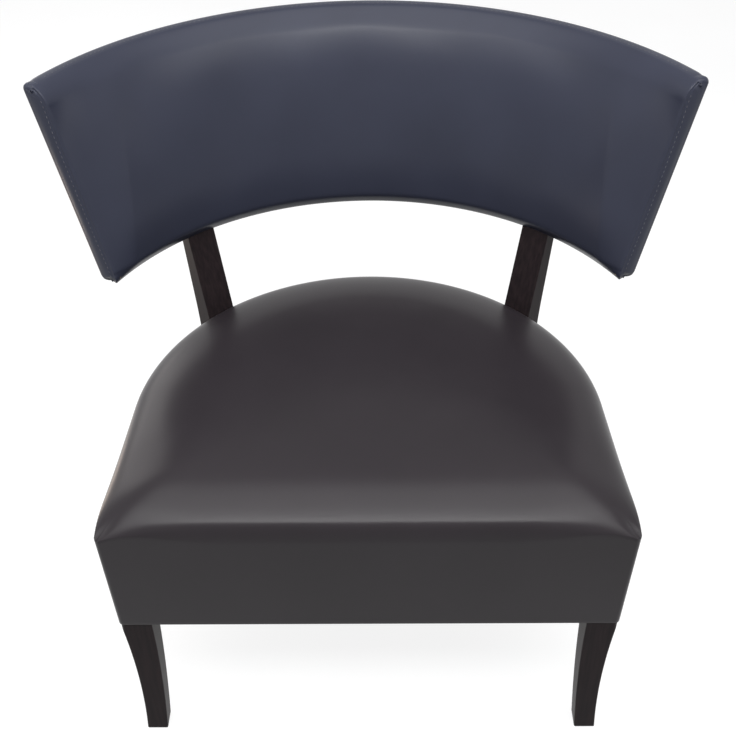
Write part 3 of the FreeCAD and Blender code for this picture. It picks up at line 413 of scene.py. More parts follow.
def swell_seat(grid, pole, free, cap):
    """The seat's grid and pole moved out along the normals by the swell of a coarser grid."""
    coarse = grid[::SEAT_SWELL_STEP, ::SEAT_SWELL_STEP]
    held = np.broadcast_to(1 - free[::SEAT_SWELL_STEP, None], coarse.shape[:2]).ravel()
    way = swelled(*domed(coarse, pole), np.append(held, 0.0))[:-1].reshape(coarse.shape)
    out = swell_height(way, grid_normals(coarse, closed=True), cap, SEAT_SWELL_PASSES)
    out[-SEAT_SWELL_LEVEL_ROWS:] = out[-SEAT_SWELL_LEVEL_ROWS:].mean()
    out = spread_swell(out, *grid.shape[:2]) * free[:, None]
    grid = grid + grid_normals(grid, closed=True) * out[..., None]
    return grid, pole + np.array([0, 0, out[-1].mean()])


def seat_cover(sizes, material, foam):
    grid, pole, free = seat_grid(sizes)
    grid, pole = swell_seat(grid, pole, free, sizes.swell)
    place = np.array([0, SEAT_FRONT_Y, 0])
    grid, pole = grid + place, pole + place
    points, faces = domed(grid, pole)
    piece = new_piece("seat_cover_top", new_mesh("seat_cover_top", points, *faces), material)
    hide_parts("seat_cover")
    seat_foam(grid[::2, ::2], pole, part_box("seat_foam")[0][2], foam)


# Back covers
BACK_COLUMNS = {"front": 132, "turn": 6, "cap": 18, "rear_turn": 8, "rear": 76}

# Points on each run of the two chains, and the section's rounds in the order that they are met.
FRONT_RUNS, REAR_RUNS = (3, 13, 60, 24), (8, 11, 56, 12, 4, 11)
LOW_FRONT_ROUND, LOW_REAR_ROUND, HIGH_REAR_ROUND = 0.016, 0.014, 0.0075
LOW_SEAM_BEHIND_FRONT = 0.0215
FRONT_END_ROUND, REAR_END_ROUND = 0.003, 0.006

# How the columns crowd towards the ends, and how the facets there widen upwards and blend in.
END_CROWDING = 0.10
FACET_POWER, FACET_SOFTNESS = 1.2, 0.22

# The front bends back above one share of the back's height and below another. Above a third
# share its ends are drawn back less, by the loss.
TOP_BEND_FROM, FOOT_BEND_TO = 0.72, 0.3
DRAW_LOSS, DRAW_LOSS_FROM = 0.35, 0.75

# Every so many rows and columns make the coarse grid, whose swell is evened out in passes. It is
# let in over these distances from the top, the foot and the ends.
BACK_SWELL_STEP, BACK_SWELL_PASSES = 4, 6
TOP_HELD, FOOT_HELD, END_HELD = 0.04, 0.02, 0.04

# Widths of the seams' grooves and of the puckers and their folds. The top seam's is shallower.
SEAM_WIDTH, TOP_SEAM_SHARE = 0.002, 0.12
PUCKER_REACH, FOLD_SHARE, FOLD_MIDDLE, FOLD_REACH, FOLD_PITCH = 0.007, 0.25, 0.008, 0.006, 0.009

# Depths under the back's skin, and the part of the inside cover's rows and columns with foam.
BACK_COVER_DEPTH = 0.0025
FOAM_FRONT, FOAM_REAR = 0.0030, 0.0095
FOAM_PATCH = (slice(4, -3), slice(7, -7))

# A stitch's rings and sides, how its ends taper, how far they dip and how high the thread lies.
STITCH_RINGS, STITCH_SIDES = 7, 6
STITCH_TAPER, STITCH_POWER, STITCH_DIP, STITCH_LIFT = 0.98, 0.35, 1.2, 0.0001

# Columns and rows beside a seam among which a stitch line lies, and the rows that have one.
END_STITCH_COLUMNS, END_STITCH_ROWS = 10, slice(8, -14)
TOP_STITCH_ROWS, TOP_NORMAL_ROW, END_NORMAL_COLUMN = 14, -5, 3


def back_chains(sizes):
    """The back's section in radius and height, as a front and a rear chain of points.

    Both start at the seam under the back and end at the seam on its top. The front chain goes
    round the low front roll, up the raked front and over the broad top roll; the rear chain goes
    round the low rear corner, up the rear and over the high rear corner. Each corner is the
    circle that touches both of its sides.
    """
    slope = math.tan(sizes.rake)
    low, high, depth = sizes.bottom, sizes.top, sizes.thickness
    rise = (high - low) * slope
    corners = np.array([
        [sizes.radius, low], [sizes.radius + depth, low],
        [sizes.radius + depth + rise, high], [sizes.radius + rise, high],
    ])
    rounds = (LOW_FRONT_ROUND, LOW_REAR_ROUND, HIGH_REAR_ROUND, sizes.top_roll)
    touches, centres = [], []
    for i, size in enumerate(rounds):
        back, ahead = unit(corners[i - 1] - corners[i]), unit(corners[(i + 1) % 4] - corners[i])
        half = math.acos(float(back @ ahead)) / 2
        trim = size / math.tan(half)
        touches.append((corners[i] + back * trim, corners[i] + ahead * trim))
        centres.append(corners[i] + unit(back + ahead) * size / math.sin(half))
    lean = sizes.rake
    seam_low = np.array([sizes.radius + LOW_SEAM_BEHIND_FRONT, low])
    seam_turn = math.pi / 2 + math.asin((centres[3][0] - sizes.seam_radius) / rounds[3])
    foot, corner, face, roll = FRONT_RUNS
    front = chain(
        line(seam_low, touches[0][1], foot),
        arc(centres[0], rounds[0], 1.5 * math.pi, math.pi - lean, corner),
        line(touches[0][0], touches[3][1], face),
        arc(centres[3], rounds[3], math.pi - lean, seam_turn, roll),
    )
    foot, corner, face, high_corner, top, roll = REAR_RUNS
    rear = chain(
        line(seam_low, touches[1][0], foot),
        arc(centres[1], rounds[1], -math.pi / 2, -lean, corner),
        line(touches[1][1], touches[2][0], face),
        arc(centres[2], rounds[2], -lean, math.pi / 2, high_corner),
        line(touches[2][1], touches[3][0], top),
        arc(centres[3], rounds[3], math.pi / 2, seam_turn, roll),
    )
    return front, rear


def chain_normals(points, outward):
    """Unit normals of a chain in its own plane, on the side that outward gives."""
    step = np.gradient(points, axis=0)
    return unit(np.stack([step[:, 1], -step[:, 0]], axis=-1)) * outward


def back_grid(sizes):
    """The whole skin of the back as rows up it and columns round it.

    A column is the front chain or the rear chain at an angle about the back's axis. At each end
    the front chain runs into a small round, the end face is a blend of both chains, and a larger
    round leads to the rear chain. The front is crowned by a parabola up its height, bends back
    with the square of the way into its top and its foot, and is drawn back towards each end, more
    widely at the top than at the bottom. All this fades out towards the seam on the top.
    """
    front, rear = back_chains(sizes)
    front_out, rear_out = chain_normals(front, -1), chain_normals(rear, 1)

    def end_of(section):
        """Angle of the end for each height: drawn in along a quarter circle at the foot."""
        low = np.clip(1 - (section[:, 1:] - sizes.bottom) / sizes.tip_round, 0, 1)
        return sizes.half_angle - sizes.tip_round * (1 - np.sqrt(1 - low ** 2)) / section[:, :1]

    reach, rear_reach = end_of(front), end_of(rear)
    level = (front[:, 1] - sizes.bottom) / (sizes.top - sizes.bottom)
    facing = np.clip((front_out[-1, 0] - front_out[:, 0]) / (1 + front_out[-1, 0]), 0, 1)

    def at(section, angle):
        """Section points in radius and height turned to an angle."""
        return np.stack([
            section[..., 0] * np.sin(angle), section[..., 0] * np.cos(angle), section[..., 1]], axis=-1)

    def drawn(section, away):
        """The front section crowned, and drawn back by its distance from the end.

        The crown gives way to the draw over a facet that is narrow at the foot and wide at the
        top. Its share is the root of near squared and softness squared, less the softness.
        """
        growth = (sizes.facet_top - sizes.facet_foot) * np.clip(level, 0, 1) ** FACET_POWER
        near, soft = np.clip(1 - away / (sizes.facet_foot + growth)[:, None], 0, 1), FACET_SOFTNESS
        share = (np.sqrt(near ** 2 + soft ** 2) - soft) / (math.hypot(1, soft) - soft)
        bend = sizes.top_bend * np.clip((level - TOP_BEND_FROM) / (1 - TOP_BEND_FROM), 0, 1) ** 2
        bend = bend + sizes.foot_bend * np.clip((FOOT_BEND_TO - level) / FOOT_BEND_TO, 0, 1) ** 2
        crown = (sizes.crown_rise * (1 - (2 * level - 1) ** 2) - bend)[:, None]
        high = smooth_step((level - DRAW_LOSS_FROM) / (1 - DRAW_LOSS_FROM))
        draw = sizes.end_draw * (1 - DRAW_LOSS * high)[:, None]
        push = (draw * share - crown * (1 - share)) * facing[:, None]
        return section - front_out[:, None] * push[..., None]

    columns = []
    small, large = FRONT_END_ROUND, REAR_END_ROUND
    share = np.linspace(0, 1, BACK_COLUMNS["front"] + 1)
    share = share + END_CROWDING * np.sin(math.pi * share)
    share = share / share[-1]
    radius = front[:, :1]
    stop = reach - small / radius
    angle = stop * share
    section = drawn(front[:, None], (reach - angle) * radius)
    columns.append(at(section, angle))
    end_front = drawn(front[:, None], np.zeros((len(front), 1)))[:, 0]
    turn = np.linspace(0, math.pi / 2, BACK_COLUMNS["turn"] + 1)[1:]
    section = end_front[:, None] - front_out[:, None] * (small * (1 - np.cos(turn)))[None, :, None]
    columns.append(at(section, reach - small * (1 - np.sin(turn)) / radius))
    inner = section[:, -1]
    rear_turn = np.linspace(math.pi / 2, 0, BACK_COLUMNS["rear_turn"] + 1)
    rear_section = rear[:, None] - rear_out[:, None] * (large * (1 - np.cos(rear_turn)))[None, :, None]
    outer = rear_section[:, 0]
    share = np.linspace(0, 1, BACK_COLUMNS["cap"] + 1)[1:-1]
    cap = inner[:, None] * (1 - share[None, :, None]) + outer[:, None] * share[None, :, None]
    upright = np.sqrt(np.sin(math.pi * np.clip(level, 0, 1)))[:, None]
    puff = sizes.end_puff * np.sin(math.pi * share)[None] * upright
    columns.append(at(cap, reach * (1 - share) + rear_reach * share + puff / radius))
    rear_radius = rear[:, :1]
    columns.append(at(rear_section, rear_reach - large * (1 - np.sin(rear_turn)) / rear_radius))
    share = np.linspace(1, 0, BACK_COLUMNS["rear"] + 1)[1:]
    angle = (rear_reach - large / rear_radius) * share
    columns.append(at(np.broadcast_to(rear[:, None], rear.shape[:1] + angle.shape[1:] + (2,)), angle))
    half = np.concatenate(columns, axis=1)
    other = half[:, 1:-1][:, ::-1] * np.array([-1.0, 1.0, 1.0])
    return np.concatenate([half, other], axis=1)


def column_marks():
    """Column numbers of the end seam and of the rear seam on the right half."""
    seam = BACK_COLUMNS["front"] + BACK_COLUMNS["turn"]
    rear = seam + BACK_COLUMNS["cap"] + BACK_COLUMNS["rear_turn"] + 1
    return seam, rear


def way_along(points, axis):
    """Length of the path along one axis of a grid, from its start."""
    step = np.linalg.norm(np.diff(points, axis=axis), axis=-1)
    start = np.zeros_like(np.take(step, [0], axis=axis))
    return np.concatenate([start, np.cumsum(step, axis=axis)], axis=axis)


def swell_back(grid, behind, free, cap):
    """The back's grid moved out along its normals by the swell of a coarser grid's front."""
    coarse = grid[::BACK_SWELL_STEP, ::BACK_SWELL_STEP]
    held = np.broadcast_to(behind[::BACK_SWELL_STEP], coarse.shape[:2]).astype(float)
    held[[0, -1]] = 1
    faces = (grid_quads(*coarse.shape[:2], closed=True),)
    way = swelled(coarse.reshape(-1, 3), faces, held.ravel()).reshape(coarse.shape)
    out = swell_height(way, grid_normals(coarse, closed=True), cap, BACK_SWELL_PASSES)
    out = spread_swell(out, *grid.shape[:2]) * free
    return grid + grid_normals(grid, closed=True) * out[..., None]


def back_skin(sizes):
    """The back's skin with its swell, the grooves of its seams and a pucker at each top corner.

    A groove is a smooth hump of the distance from its seam. A pucker is a hump about its corner,
    with folds that follow a cosine of the way round the skin and fade out with distance.
    """
    grid = back_grid(sizes)
    columns = grid.shape[1]
    seam, rear = column_marks()
    marks = [seam, rear, columns - rear, columns - seam]
    up = way_along(grid, 0)
    from_top = up[-1][None] - up
    closed = np.concatenate([grid, grid[:, :1]], axis=1)
    across = way_along(closed, 1)[:, :-1]
    from_end = np.minimum(np.abs(across - across[:, [seam]]), np.abs(across - across[:, [columns - seam]]))
    behind = np.zeros(columns, bool)
    behind[seam:columns - seam + 1] = True
    free = smooth_step(from_top / TOP_HELD) * smooth_step(up / FOOT_HELD)
    free = free * smooth_step(from_end / END_HELD) * ~behind
    grid = swell_back(grid, behind, free, sizes.swell)
    groove = TOP_SEAM_SHARE * bump(from_top, 0, SEAM_WIDTH)
    for mark in marks:
        groove = np.maximum(groove, bump(across - across[:, mark:mark + 1], 0, SEAM_WIDTH))
    corner = grid[-1, [seam, columns - seam]]
    reach = np.linalg.norm(grid[:, :, None] - corner, axis=-1).min(axis=-1)
    folds = bump(reach, FOLD_MIDDLE, FOLD_REACH) * np.cos(across * 2 * math.pi / FOLD_PITCH)
    pucker = bump(reach, 0, PUCKER_REACH) + FOLD_SHARE * folds
    push = sizes.seam_depth * groove + sizes.pucker * pucker
    return grid - grid_normals(grid, closed=True) * push[..., None], marks


def thin_shell(outer, inner):
    """Points and faces of two layers of a patch, joined all round their edges."""
    closed = np.concatenate([outer, inner[:, ::-1]], axis=1)
    rows, columns = closed.shape[:2]
    half = columns // 2
    ends = []
    for row, flip in ((0, True), (rows - 1, False)):
        one = row * columns + np.arange(half)
        other = row * columns + columns - 1 - np.arange(half)
        cap = np.stack([one[:-1], one[1:], other[1:], other[:-1]], axis=-1)
        ends.append(cap[:, ::-1] if flip else cap)
    return closed, grid_quads(rows, columns, closed=True), *ends


def cover_piece(name, patch, material):
    """One cover as a closed sheet: its outside, and its inside a cover's depth below."""
    inside = patch - grid_normals(patch) * BACK_COVER_DEPTH
    return new_piece(name, new_mesh(name, *thin_shell(patch, inside)), material)


def back_foam(patch, material):
    """The foam behind the inside cover: two layers of its form, joined round their edges."""
    normal = grid_normals(patch)
    shell = thin_shell(*((patch - normal * depth)[FOAM_PATCH] for depth in (FOAM_FRONT, FOAM_REAR)))
    piece = new_piece("back_foam_panel", new_mesh("back_foam_panel", *shell), material)
    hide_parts("back_foam")


def line_beside(lines, distance):
    """Points at a distance from the first of a stack of lines, measured across the stack."""
    way = way_along(lines, 0)
    low = np.clip((way <= distance).sum(axis=0) - 1, 0, len(lines) - 2)[None]
    near, far = np.take_along_axis(way, low, 0)[0], np.take_along_axis(way, low + 1, 0)[0]
    share = ((distance - near) / np.maximum(far - near, 1e-9))[:, None]
    start = np.take_along_axis(lines, low[..., None], 0)[0]
    end = np.take_along_axis(lines, low[..., None] + 1, 0)[0]
    return start + (end - start) * np.clip(share, 0, 1)


def stitch_points(path, normals, sizes):
    """A row of stitches along a path: capsules that dip into the cover at both ends.

    The path is measured, and a stitch stands at the middle of each pitch. Along a stitch the
    radius follows a half circle to a low power, and the height falls with the square of the way
    from its middle.
    """
    way = way_along(path, 0)
    count = int(way[-1] / sizes.pitch)
    spots = (np.arange(count) + 0.5) * way[-1] / count

    def at_spots(values):
        """Values along the path, read off where the stitches stand."""
        return np.stack([np.interp(spots, way, values[:, i]) for i in range(3)], axis=-1)

    centre, up = at_spots(path), unit(at_spots(normals))
    side = unit(np.cross(up, at_spots(np.gradient(path, axis=0))))
    tangent = np.cross(side, up)
    along = np.linspace(-1, 1, STITCH_RINGS)
    turn = np.arange(STITCH_SIDES) * 2 * math.pi / STITCH_SIDES
    radius = sizes.thread_radius * (1 - STITCH_TAPER * along ** 2) ** STITCH_POWER
    length = along[:, None] * sizes.stitch_length / 2 + 0 * turn
    width = radius[:, None] * np.cos(turn)
    dip = sizes.thread_radius * STITCH_DIP * along[:, None] ** 2
    height = radius[:, None] * np.sin(turn) - dip + STITCH_LIFT
    ways = ((length, tangent), (width, side), (height, up))
    return centre[:, None, None] + sum(size[..., None] * axis[:, None, None] for size, axis in ways)


def stitch_faces(count):
    """Quads round every capsule and two quads that close each end's hexagon."""
    number = np.arange(STITCH_RINGS * STITCH_SIDES).reshape(STITCH_RINGS, STITCH_SIDES)
    first, last = number[0], number[-1]
    caps = np.array([first[[3, 2, 1, 0]], first[[5, 4, 3, 0]], last[[0, 1, 2, 3]], last[[0, 3, 4, 5]]])
    one = np.concatenate([grid_quads(STITCH_RINGS, STITCH_SIDES, closed=True), caps])
    return (one[None] + (np.arange(count) * number.size)[:, None, None]).reshape(-1, 4)


def stitches(skin, marks, sizes, material):
    """The light topstitch beside both end seams and behind the top seam."""
    end_right, rear_right, rear_left, end_left = marks
    normal = grid_normals(skin, closed=True)
    rows = []
    for first, step in ((end_right, 1), (end_left, -1)):
        columns = first + step * np.arange(END_STITCH_COLUMNS)
        path = line_beside(skin[:, columns].transpose(1, 0, 2), sizes.stitch_aside)[END_STITCH_ROWS]
        rows.append((path, normal[END_STITCH_ROWS, columns[END_NORMAL_COLUMN]]))
    back_way = np.arange(rear_right + 2, rear_left - 1)
    path = line_beside(skin[::-1][:TOP_STITCH_ROWS][:, back_way], sizes.stitch_aside)
    rows.append((path, normal[TOP_NORMAL_ROW, back_way]))
    points = np.concatenate([stitch_points(path, normals, sizes) for path, normals in rows])
    mesh = new_mesh("back_topstitch", points, stitch_faces(len(points)))
    new_piece("back_topstitch", mesh, material)


def back_covers(sizes, material, foam, thread):
    """The skin cut at its seams into four covers, with the foam and the topstitch."""
    skin, marks = back_skin(sizes)
    skin = skin + np.array([0, BACK_AXIS_Y, 0])
    end_right, rear_right, rear_left, end_left = marks
    inside = np.concatenate([skin[:, end_left:], skin[:, :end_right + 1]], axis=1)
    pieces = {
        "back_inside_padding": (inside, ("back_inside_cover",)),
        "back_end_strip_right": (skin[:, end_right:rear_right + 1], ("back_end_boxing_right",)),
        "back_outside_panel": (skin[:, rear_right:rear_left + 1], ("back_outside_cover",)),
        "back_end_strip_left": (skin[:, rear_left:end_left + 1], ("back_end_boxing_left",)),
    }
    for name, (patch, nodes) in pieces.items():
        piece = cover_piece(name, patch, material)
        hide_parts(*nodes)
    back_foam(inside[::2, ::2], foam)
    stitches(skin, marks, sizes, thread)


# Materials
def new_material(name):
    """A material with its nodes, its links and its shader."""
    material = bpy.data.materials.new(name)
    material.use_nodes = True
    nodes = material.node_tree.nodes
    return material, nodes, material.node_tree.links, nodes["Principled BSDF"]


def object_pattern(nodes, links, kind, scale, stretch=(1, 1, 1), **settings):
    """A procedural texture node on object coordinates, stretched by a mapping."""
    place = nodes.new("ShaderNodeTexCoord")
    mapping = nodes.new("ShaderNodeMapping")
    mapping.inputs["Scale"].default_value = stretch
    texture = nodes.new(kind)
    texture.inputs["Scale"].default_value = scale
    for name, setting in settings.items():
        texture.inputs[name].default_value = setting
    links.new(place.outputs["Object"], mapping.inputs["Vector"])
    links.new(mapping.outputs["Vector"], texture.inputs["Vector"])
    return texture


def tone(nodes, links, source, low, high, start=0.3, end=0.7):
    """A ramp from one colour to another over part of a pattern's range."""
    ramp = nodes.new("ShaderNodeValToRGB")
    ramp.color_ramp.elements[0].position, ramp.color_ramp.elements[1].position = start, end
    ramp.color_ramp.elements[0].color = (*low, 1)
    ramp.color_ramp.elements[1].color = (*high, 1)
    links.new(source, ramp.inputs["Fac"])
    return ramp.outputs["Color"]


def set_bump(nodes, links, shader, height, strength, distance):
    """A pattern's height as fine relief on a shader."""
    relief = nodes.new("ShaderNodeBump")
    relief.inputs["Strength"].default_value = strength
    relief.inputs["Distance"].default_value = distance
    links.new(height, relief.inputs["Height"])
    links.new(relief.outputs["Normal"], shader.inputs["Normal"])


def vary_roughness(nodes, links, shader, source, middle, swing):
    """A shader's roughness carried by a pattern from swing below the middle to swing above it."""
    span = nodes.new("ShaderNodeMapRange")
    span.inputs["To Min"].default_value = middle - swing
    span.inputs["To Max"].default_value = middle + swing
    links.new(source, span.inputs["Value"])
    links.new(span.outputs["Result"], shader.inputs["Roughness"])


VINYL_ROUGHNESS, VINYL_GLOSS = 0.31, 0.19


def scaled(colour, factor):
    """A colour made lighter or darker by one factor."""
    return tuple(part * factor for part in colour)


def vinyl(name, colour, roughness):
    """Smooth satin vinyl: a fine pebble of leather cells, slow cloudy tones and soft gloss."""
    material, nodes, links, shader = new_material(name)
    clouds = object_pattern(nodes, links, "ShaderNodeTexNoise", 9, Detail=3.0)
    cloudy = tone(nodes, links, clouds.outputs["Fac"], scaled(colour, 0.93), scaled(colour, 1.07))
    links.new(cloudy, shader.inputs["Base Color"])
    pebble = object_pattern(nodes, links, "ShaderNodeTexVoronoi", 900, Randomness=0.9)
    set_bump(nodes, links, shader, pebble.outputs["Distance"], 0.12, 0.0003)
    vary_roughness(nodes, links, shader, clouds.outputs["Fac"], roughness, 0.03)
    shader.inputs["Specular IOR Level"].default_value = VINYL_GLOSS
    return material


def wood(name, dark, light, roughness, gloss, grain_axis="z"):
    """Wood with long streaks of grain along one axis and fine pores."""
    material, nodes, links, shader = new_material(name)
    stretch = {"x": (0.05, 1, 1), "y": (1, 0.05, 1), "z": (1, 1, 0.05)}[grain_axis]
    streaks = object_pattern(nodes, links, "ShaderNodeTexNoise", 260, stretch, Detail=6.0)
    grain = tone(nodes, links, streaks.outputs["Fac"], dark, light, 0.35, 0.65)
    links.new(grain, shader.inputs["Base Color"])
    set_bump(nodes, links, shader, streaks.outputs["Fac"], 0.15, 0.0003)
    vary_roughness(nodes, links, shader, streaks.outputs["Fac"], roughness, 0.05)
    shader.inputs["Specular IOR Level"].default_value = gloss
    return material


def fibrous(name, dark, light, scale, stretch=(1, 1, 1)):
    """Foam, wadding, lining or webbing: small cells or threads that catch little light."""
    material, nodes, links, shader = new_material(name)
    cells = object_pattern(nodes, links, "ShaderNodeTexVoronoi", scale, stretch)
    tangle = tone(nodes, links, cells.outputs["Distance"], dark, light, 0.1, 0.8)
    links.new(tangle, shader.inputs["Base Color"])
    set_bump(nodes, links, shader, cells.outputs["Distance"], 0.5, 0.0008)
    shader.inputs["Roughness"].default_value = 0.95
    return material


def metal(name, colour, roughness):
    """Plated steel with faint scratches."""
    material, nodes, links, shader = new_material(name)
    marks = object_pattern(nodes, links, "ShaderNodeTexNoise", 900, (1, 1, 0.2), Detail=4.0)
    scratched = tone(nodes, links, marks.outputs["Fac"], scaled(colour, 0.85), colour)
    links.new(scratched, shader.inputs["Base Color"])
    vary_roughness(nodes, links, shader, marks.outputs["Fac"], roughness, 0.08)
    shader.inputs["Metallic"].default_value = 1.0
    return material


def moulded(name, colour, roughness):
    """Moulded nylon with a fine spark-eroded texture."""
    material, nodes, links, shader = new_material(name)
    grain = object_pattern(nodes, links, "ShaderNodeTexNoise", 1500, Detail=2.0)
    eroded = tone(nodes, links, grain.outputs["Fac"], colour, scaled(colour, 1.3))
    links.new(eroded, shader.inputs["Base Color"])
    set_bump(nodes, links, shader, grain.outputs["Fac"], 0.3, 0.0002)
    shader.inputs["Roughness"].default_value = roughness
    return material


def foam_material():
    """Cream foam of small open cells."""
    return fibrous("cream_foam", (0.62, 0.56, 0.38), (0.85, 0.80, 0.62), 700)


def finish_frame(colours):
    """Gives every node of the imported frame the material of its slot."""
    materials = {
        "vinyl_seat": vinyl("seat_vinyl_node", colours.seat_vinyl, 0.42),
        "vinyl_back": vinyl("back_vinyl_node", colours.back_vinyl, 0.42),
        "leg_wood": wood("stained_leg_wood", colours.leg_dark, colours.leg_light, 0.42, 0.05),
        "frame_wood": wood("beech_rail", (0.42, 0.27, 0.14), (0.60, 0.44, 0.26), 0.6, 0.4, "x"),
        "plywood": wood("birch_ply", (0.52, 0.37, 0.21), (0.66, 0.51, 0.33), 0.65, 0.4),
        "foam": foam_material(),
        "wadding": fibrous("white_wadding", (0.70, 0.70, 0.68), (0.90, 0.90, 0.88), 300, (1, 1, 0.3)),
        "lining": fibrous("black_lining", (0.012, 0.012, 0.012), (0.03, 0.03, 0.03), 900),
        "webbing": fibrous("jute_webbing", (0.16, 0.12, 0.07), (0.34, 0.27, 0.18), 500),
        "glide_plastic": moulded("glide_nylon", (0.02, 0.02, 0.02), 0.5),
        "steel": metal("zinc_steel", (0.6, 0.6, 0.62), 0.35),
    }
    slots = {part["node"]: part["material_slot"] for part in frame["record"]["subparts"]}
    for name, node in frame["nodes"].items():
        material = materials[slots[name]]
        if node.material_slots:
            for slot in node.material_slots:
                slot.material = material
        else:
            node.data.materials.append(material)


# Stage
def camera_sees(nodes, links):
    """1 for rays from the camera and for what gloss and glass show, otherwise 0."""
    path = nodes.new("ShaderNodeLightPath")
    total = path.outputs["Is Camera Ray"]
    for name in ("Is Glossy Ray", "Is Transmission Ray"):
        either = nodes.new("ShaderNodeMath")
        either.operation = "MAXIMUM"
        links.new(total, either.inputs[0])
        links.new(path.outputs[name], either.inputs[1])
        total = either.outputs["Value"]
    return total


FLOOR_REACH, FLOOR_LINES, FLOOR_DROP = 6, 25, 0.0002
FLOOR_TONES = ((0.22, 0.22, 0.22), (0.24, 0.24, 0.24))


def floor_piece(sizes):
    """A pale floor: a wide flat grid a hair under z = 0, white to the camera, gloss and glass."""
    steps = np.linspace(-FLOOR_REACH, FLOOR_REACH, FLOOR_LINES)
    x, y = np.meshgrid(steps, steps)
    points = np.stack([x, y, 0 * x - FLOOR_DROP], axis=-1)
    mesh = new_mesh("studio_floor", points, grid_quads(FLOOR_LINES, FLOOR_LINES))
    floor = bpy.data.objects.new("studio_floor", mesh)
    bpy.context.scene.collection.objects.link(floor)
    material = bpy.data.materials.new("studio_floor")
    material.use_nodes = True
    nodes, links = material.node_tree.nodes, material.node_tree.links
    nodes.remove(nodes["Principled BSDF"])
    pale = nodes.new("ShaderNodeBsdfDiffuse")
    grain = object_pattern(nodes, links, "ShaderNodeTexNoise", 3)
    links.new(tone(nodes, links, grain.outputs["Fac"], *FLOOR_TONES), pale.inputs["Color"])
    glow = nodes.new("ShaderNodeEmission")
    glow.inputs["Strength"].default_value = sizes.floor_white
    both = nodes.new("ShaderNodeAddShader")
    links.new(pale.outputs["BSDF"], both.inputs[0])
    links.new(glow.outputs["Emission"], both.inputs[1])
    choice = nodes.new("ShaderNodeMixShader")
    links.new(camera_sees(nodes, links), choice.inputs["Fac"])
    links.new(pale.outputs["BSDF"], choice.inputs[1])
    links.new(both.outputs["Shader"], choice.inputs[2])
    links.new(choice.outputs["Shader"], nodes["Material Output"].inputs["Surface"])
    floor.data.materials.append(material)


def studio_world(sizes):
    """White behind everything that the camera and gloss see, and a soft grey fill elsewhere."""
    world = bpy.data.worlds.new("studio")
    bpy.context.scene.world = world
    world.use_nodes = True
    nodes, links = world.node_tree.nodes, world.node_tree.links
    fill = nodes["Background"]
    fill.inputs["Color"].default_value = (0.95, 0.97, 1.0, 1)
    fill.inputs["Strength"].default_value = sizes.fill
    white = nodes.new("ShaderNodeBackground")
    white.inputs["Color"].default_value = (1, 1, 1, 1)
    choice = nodes.new("ShaderNodeMixShader")
    links.new(camera_sees(nodes, links), choice.inputs["Fac"])
    links.new(fill.outputs["Background"], choice.inputs[1])
    links.new(white.outputs["Background"], choice.inputs[2])
    links.new(choice.outputs["Shader"], nodes["World Output"].inputs["Surface"])


def soft_light(name, place, aim, width, height, power, colour):
    """A soft box at a place, turned to face a point."""
    light = bpy.data.lights.new(name, "AREA")
    light.shape = "RECTANGLE"
    light.size, light.size_y = width, height
    light.energy = power
    light.color = colour
    lamp = bpy.data.objects.new(name, light)
    bpy.context.scene.collection.objects.link(lamp)
    lamp.location = place
    lamp.rotation_euler = (Vector(aim) - Vector(place)).to_track_quat("-Z", "Y").to_euler()


def studio_camera(sizes):
    """The camera: it stands in front, looks down by the pitch, and is turned and rolled a little."""
    camera = bpy.data.cameras.new("studio_camera")
    camera.sensor_width = 36
    camera.lens = sizes.lens
    holder = bpy.data.objects.new("studio_camera", camera)
    bpy.context.scene.collection.objects.link(holder)
    pitch, yaw, roll = sizes.pitch, sizes.yaw, sizes.roll
    c, s = math.cos(yaw), math.sin(yaw)
    right = Vector((c, -s, 0))
    ahead = Vector((s * math.cos(pitch), c * math.cos(pitch), -math.sin(pitch)))
    up = Vector((s * math.sin(pitch), c * math.sin(pitch), math.cos(pitch)))
    rolled_right = right * math.cos(roll) - up * math.sin(roll)
    rolled_up = right * math.sin(roll) + up * math.cos(roll)
    turn = Matrix((rolled_right, rolled_up, -ahead)).transposed().to_4x4()
    holder.matrix_world = Matrix.Translation(Vector(sizes.camera_place)) @ turn
    bpy.context.scene.camera = holder


# Settings
def length_setting(name, description, metres):
    """A size that the sidebar shows as a length."""
    return FloatProperty(name=name, description=description, default=metres, unit="LENGTH")


def angle_setting(name, description, degrees):
    """A size that the sidebar shows as an angle."""
    return FloatProperty(name=name, description=description, default=math.radians(degrees), unit="ROTATION")


def colour_setting(name, description, colour):
    """A colour that the sidebar shows as a swatch."""
    return FloatVectorProperty(name=name, description=description, subtype="COLOR", default=colour)


class SeatSizes(bpy.types.PropertyGroup):
    """Sizes of the seat's cover"""
    half_width: length_setting("Half width", "Half the width of the seat's front", 0.315)
    rim_radius: length_setting("Rim radius", "Radius of the seat's round rear", 0.3045)
    rim_centre: length_setting("Rim centre", "Distance from the front to the rim's centre", 0.214)
    apron_bottom: length_setting("Apron bottom", "Height of the cover's lower edge", 0.227)
    crown_top: length_setting("Crown top", "Height of the seat's top", 0.427)
    front_shoulder: length_setting("Front shoulder", "Fall of the top before the front edge", 0.030)
    side_shoulder: length_setting("Side shoulder", "Fall of the top before its sides", 0.024)
    dome: length_setting("Dome", "Further rise in the middle", 0.001)
    swell: length_setting("Swell", "Most that the cover swells", 0.005)


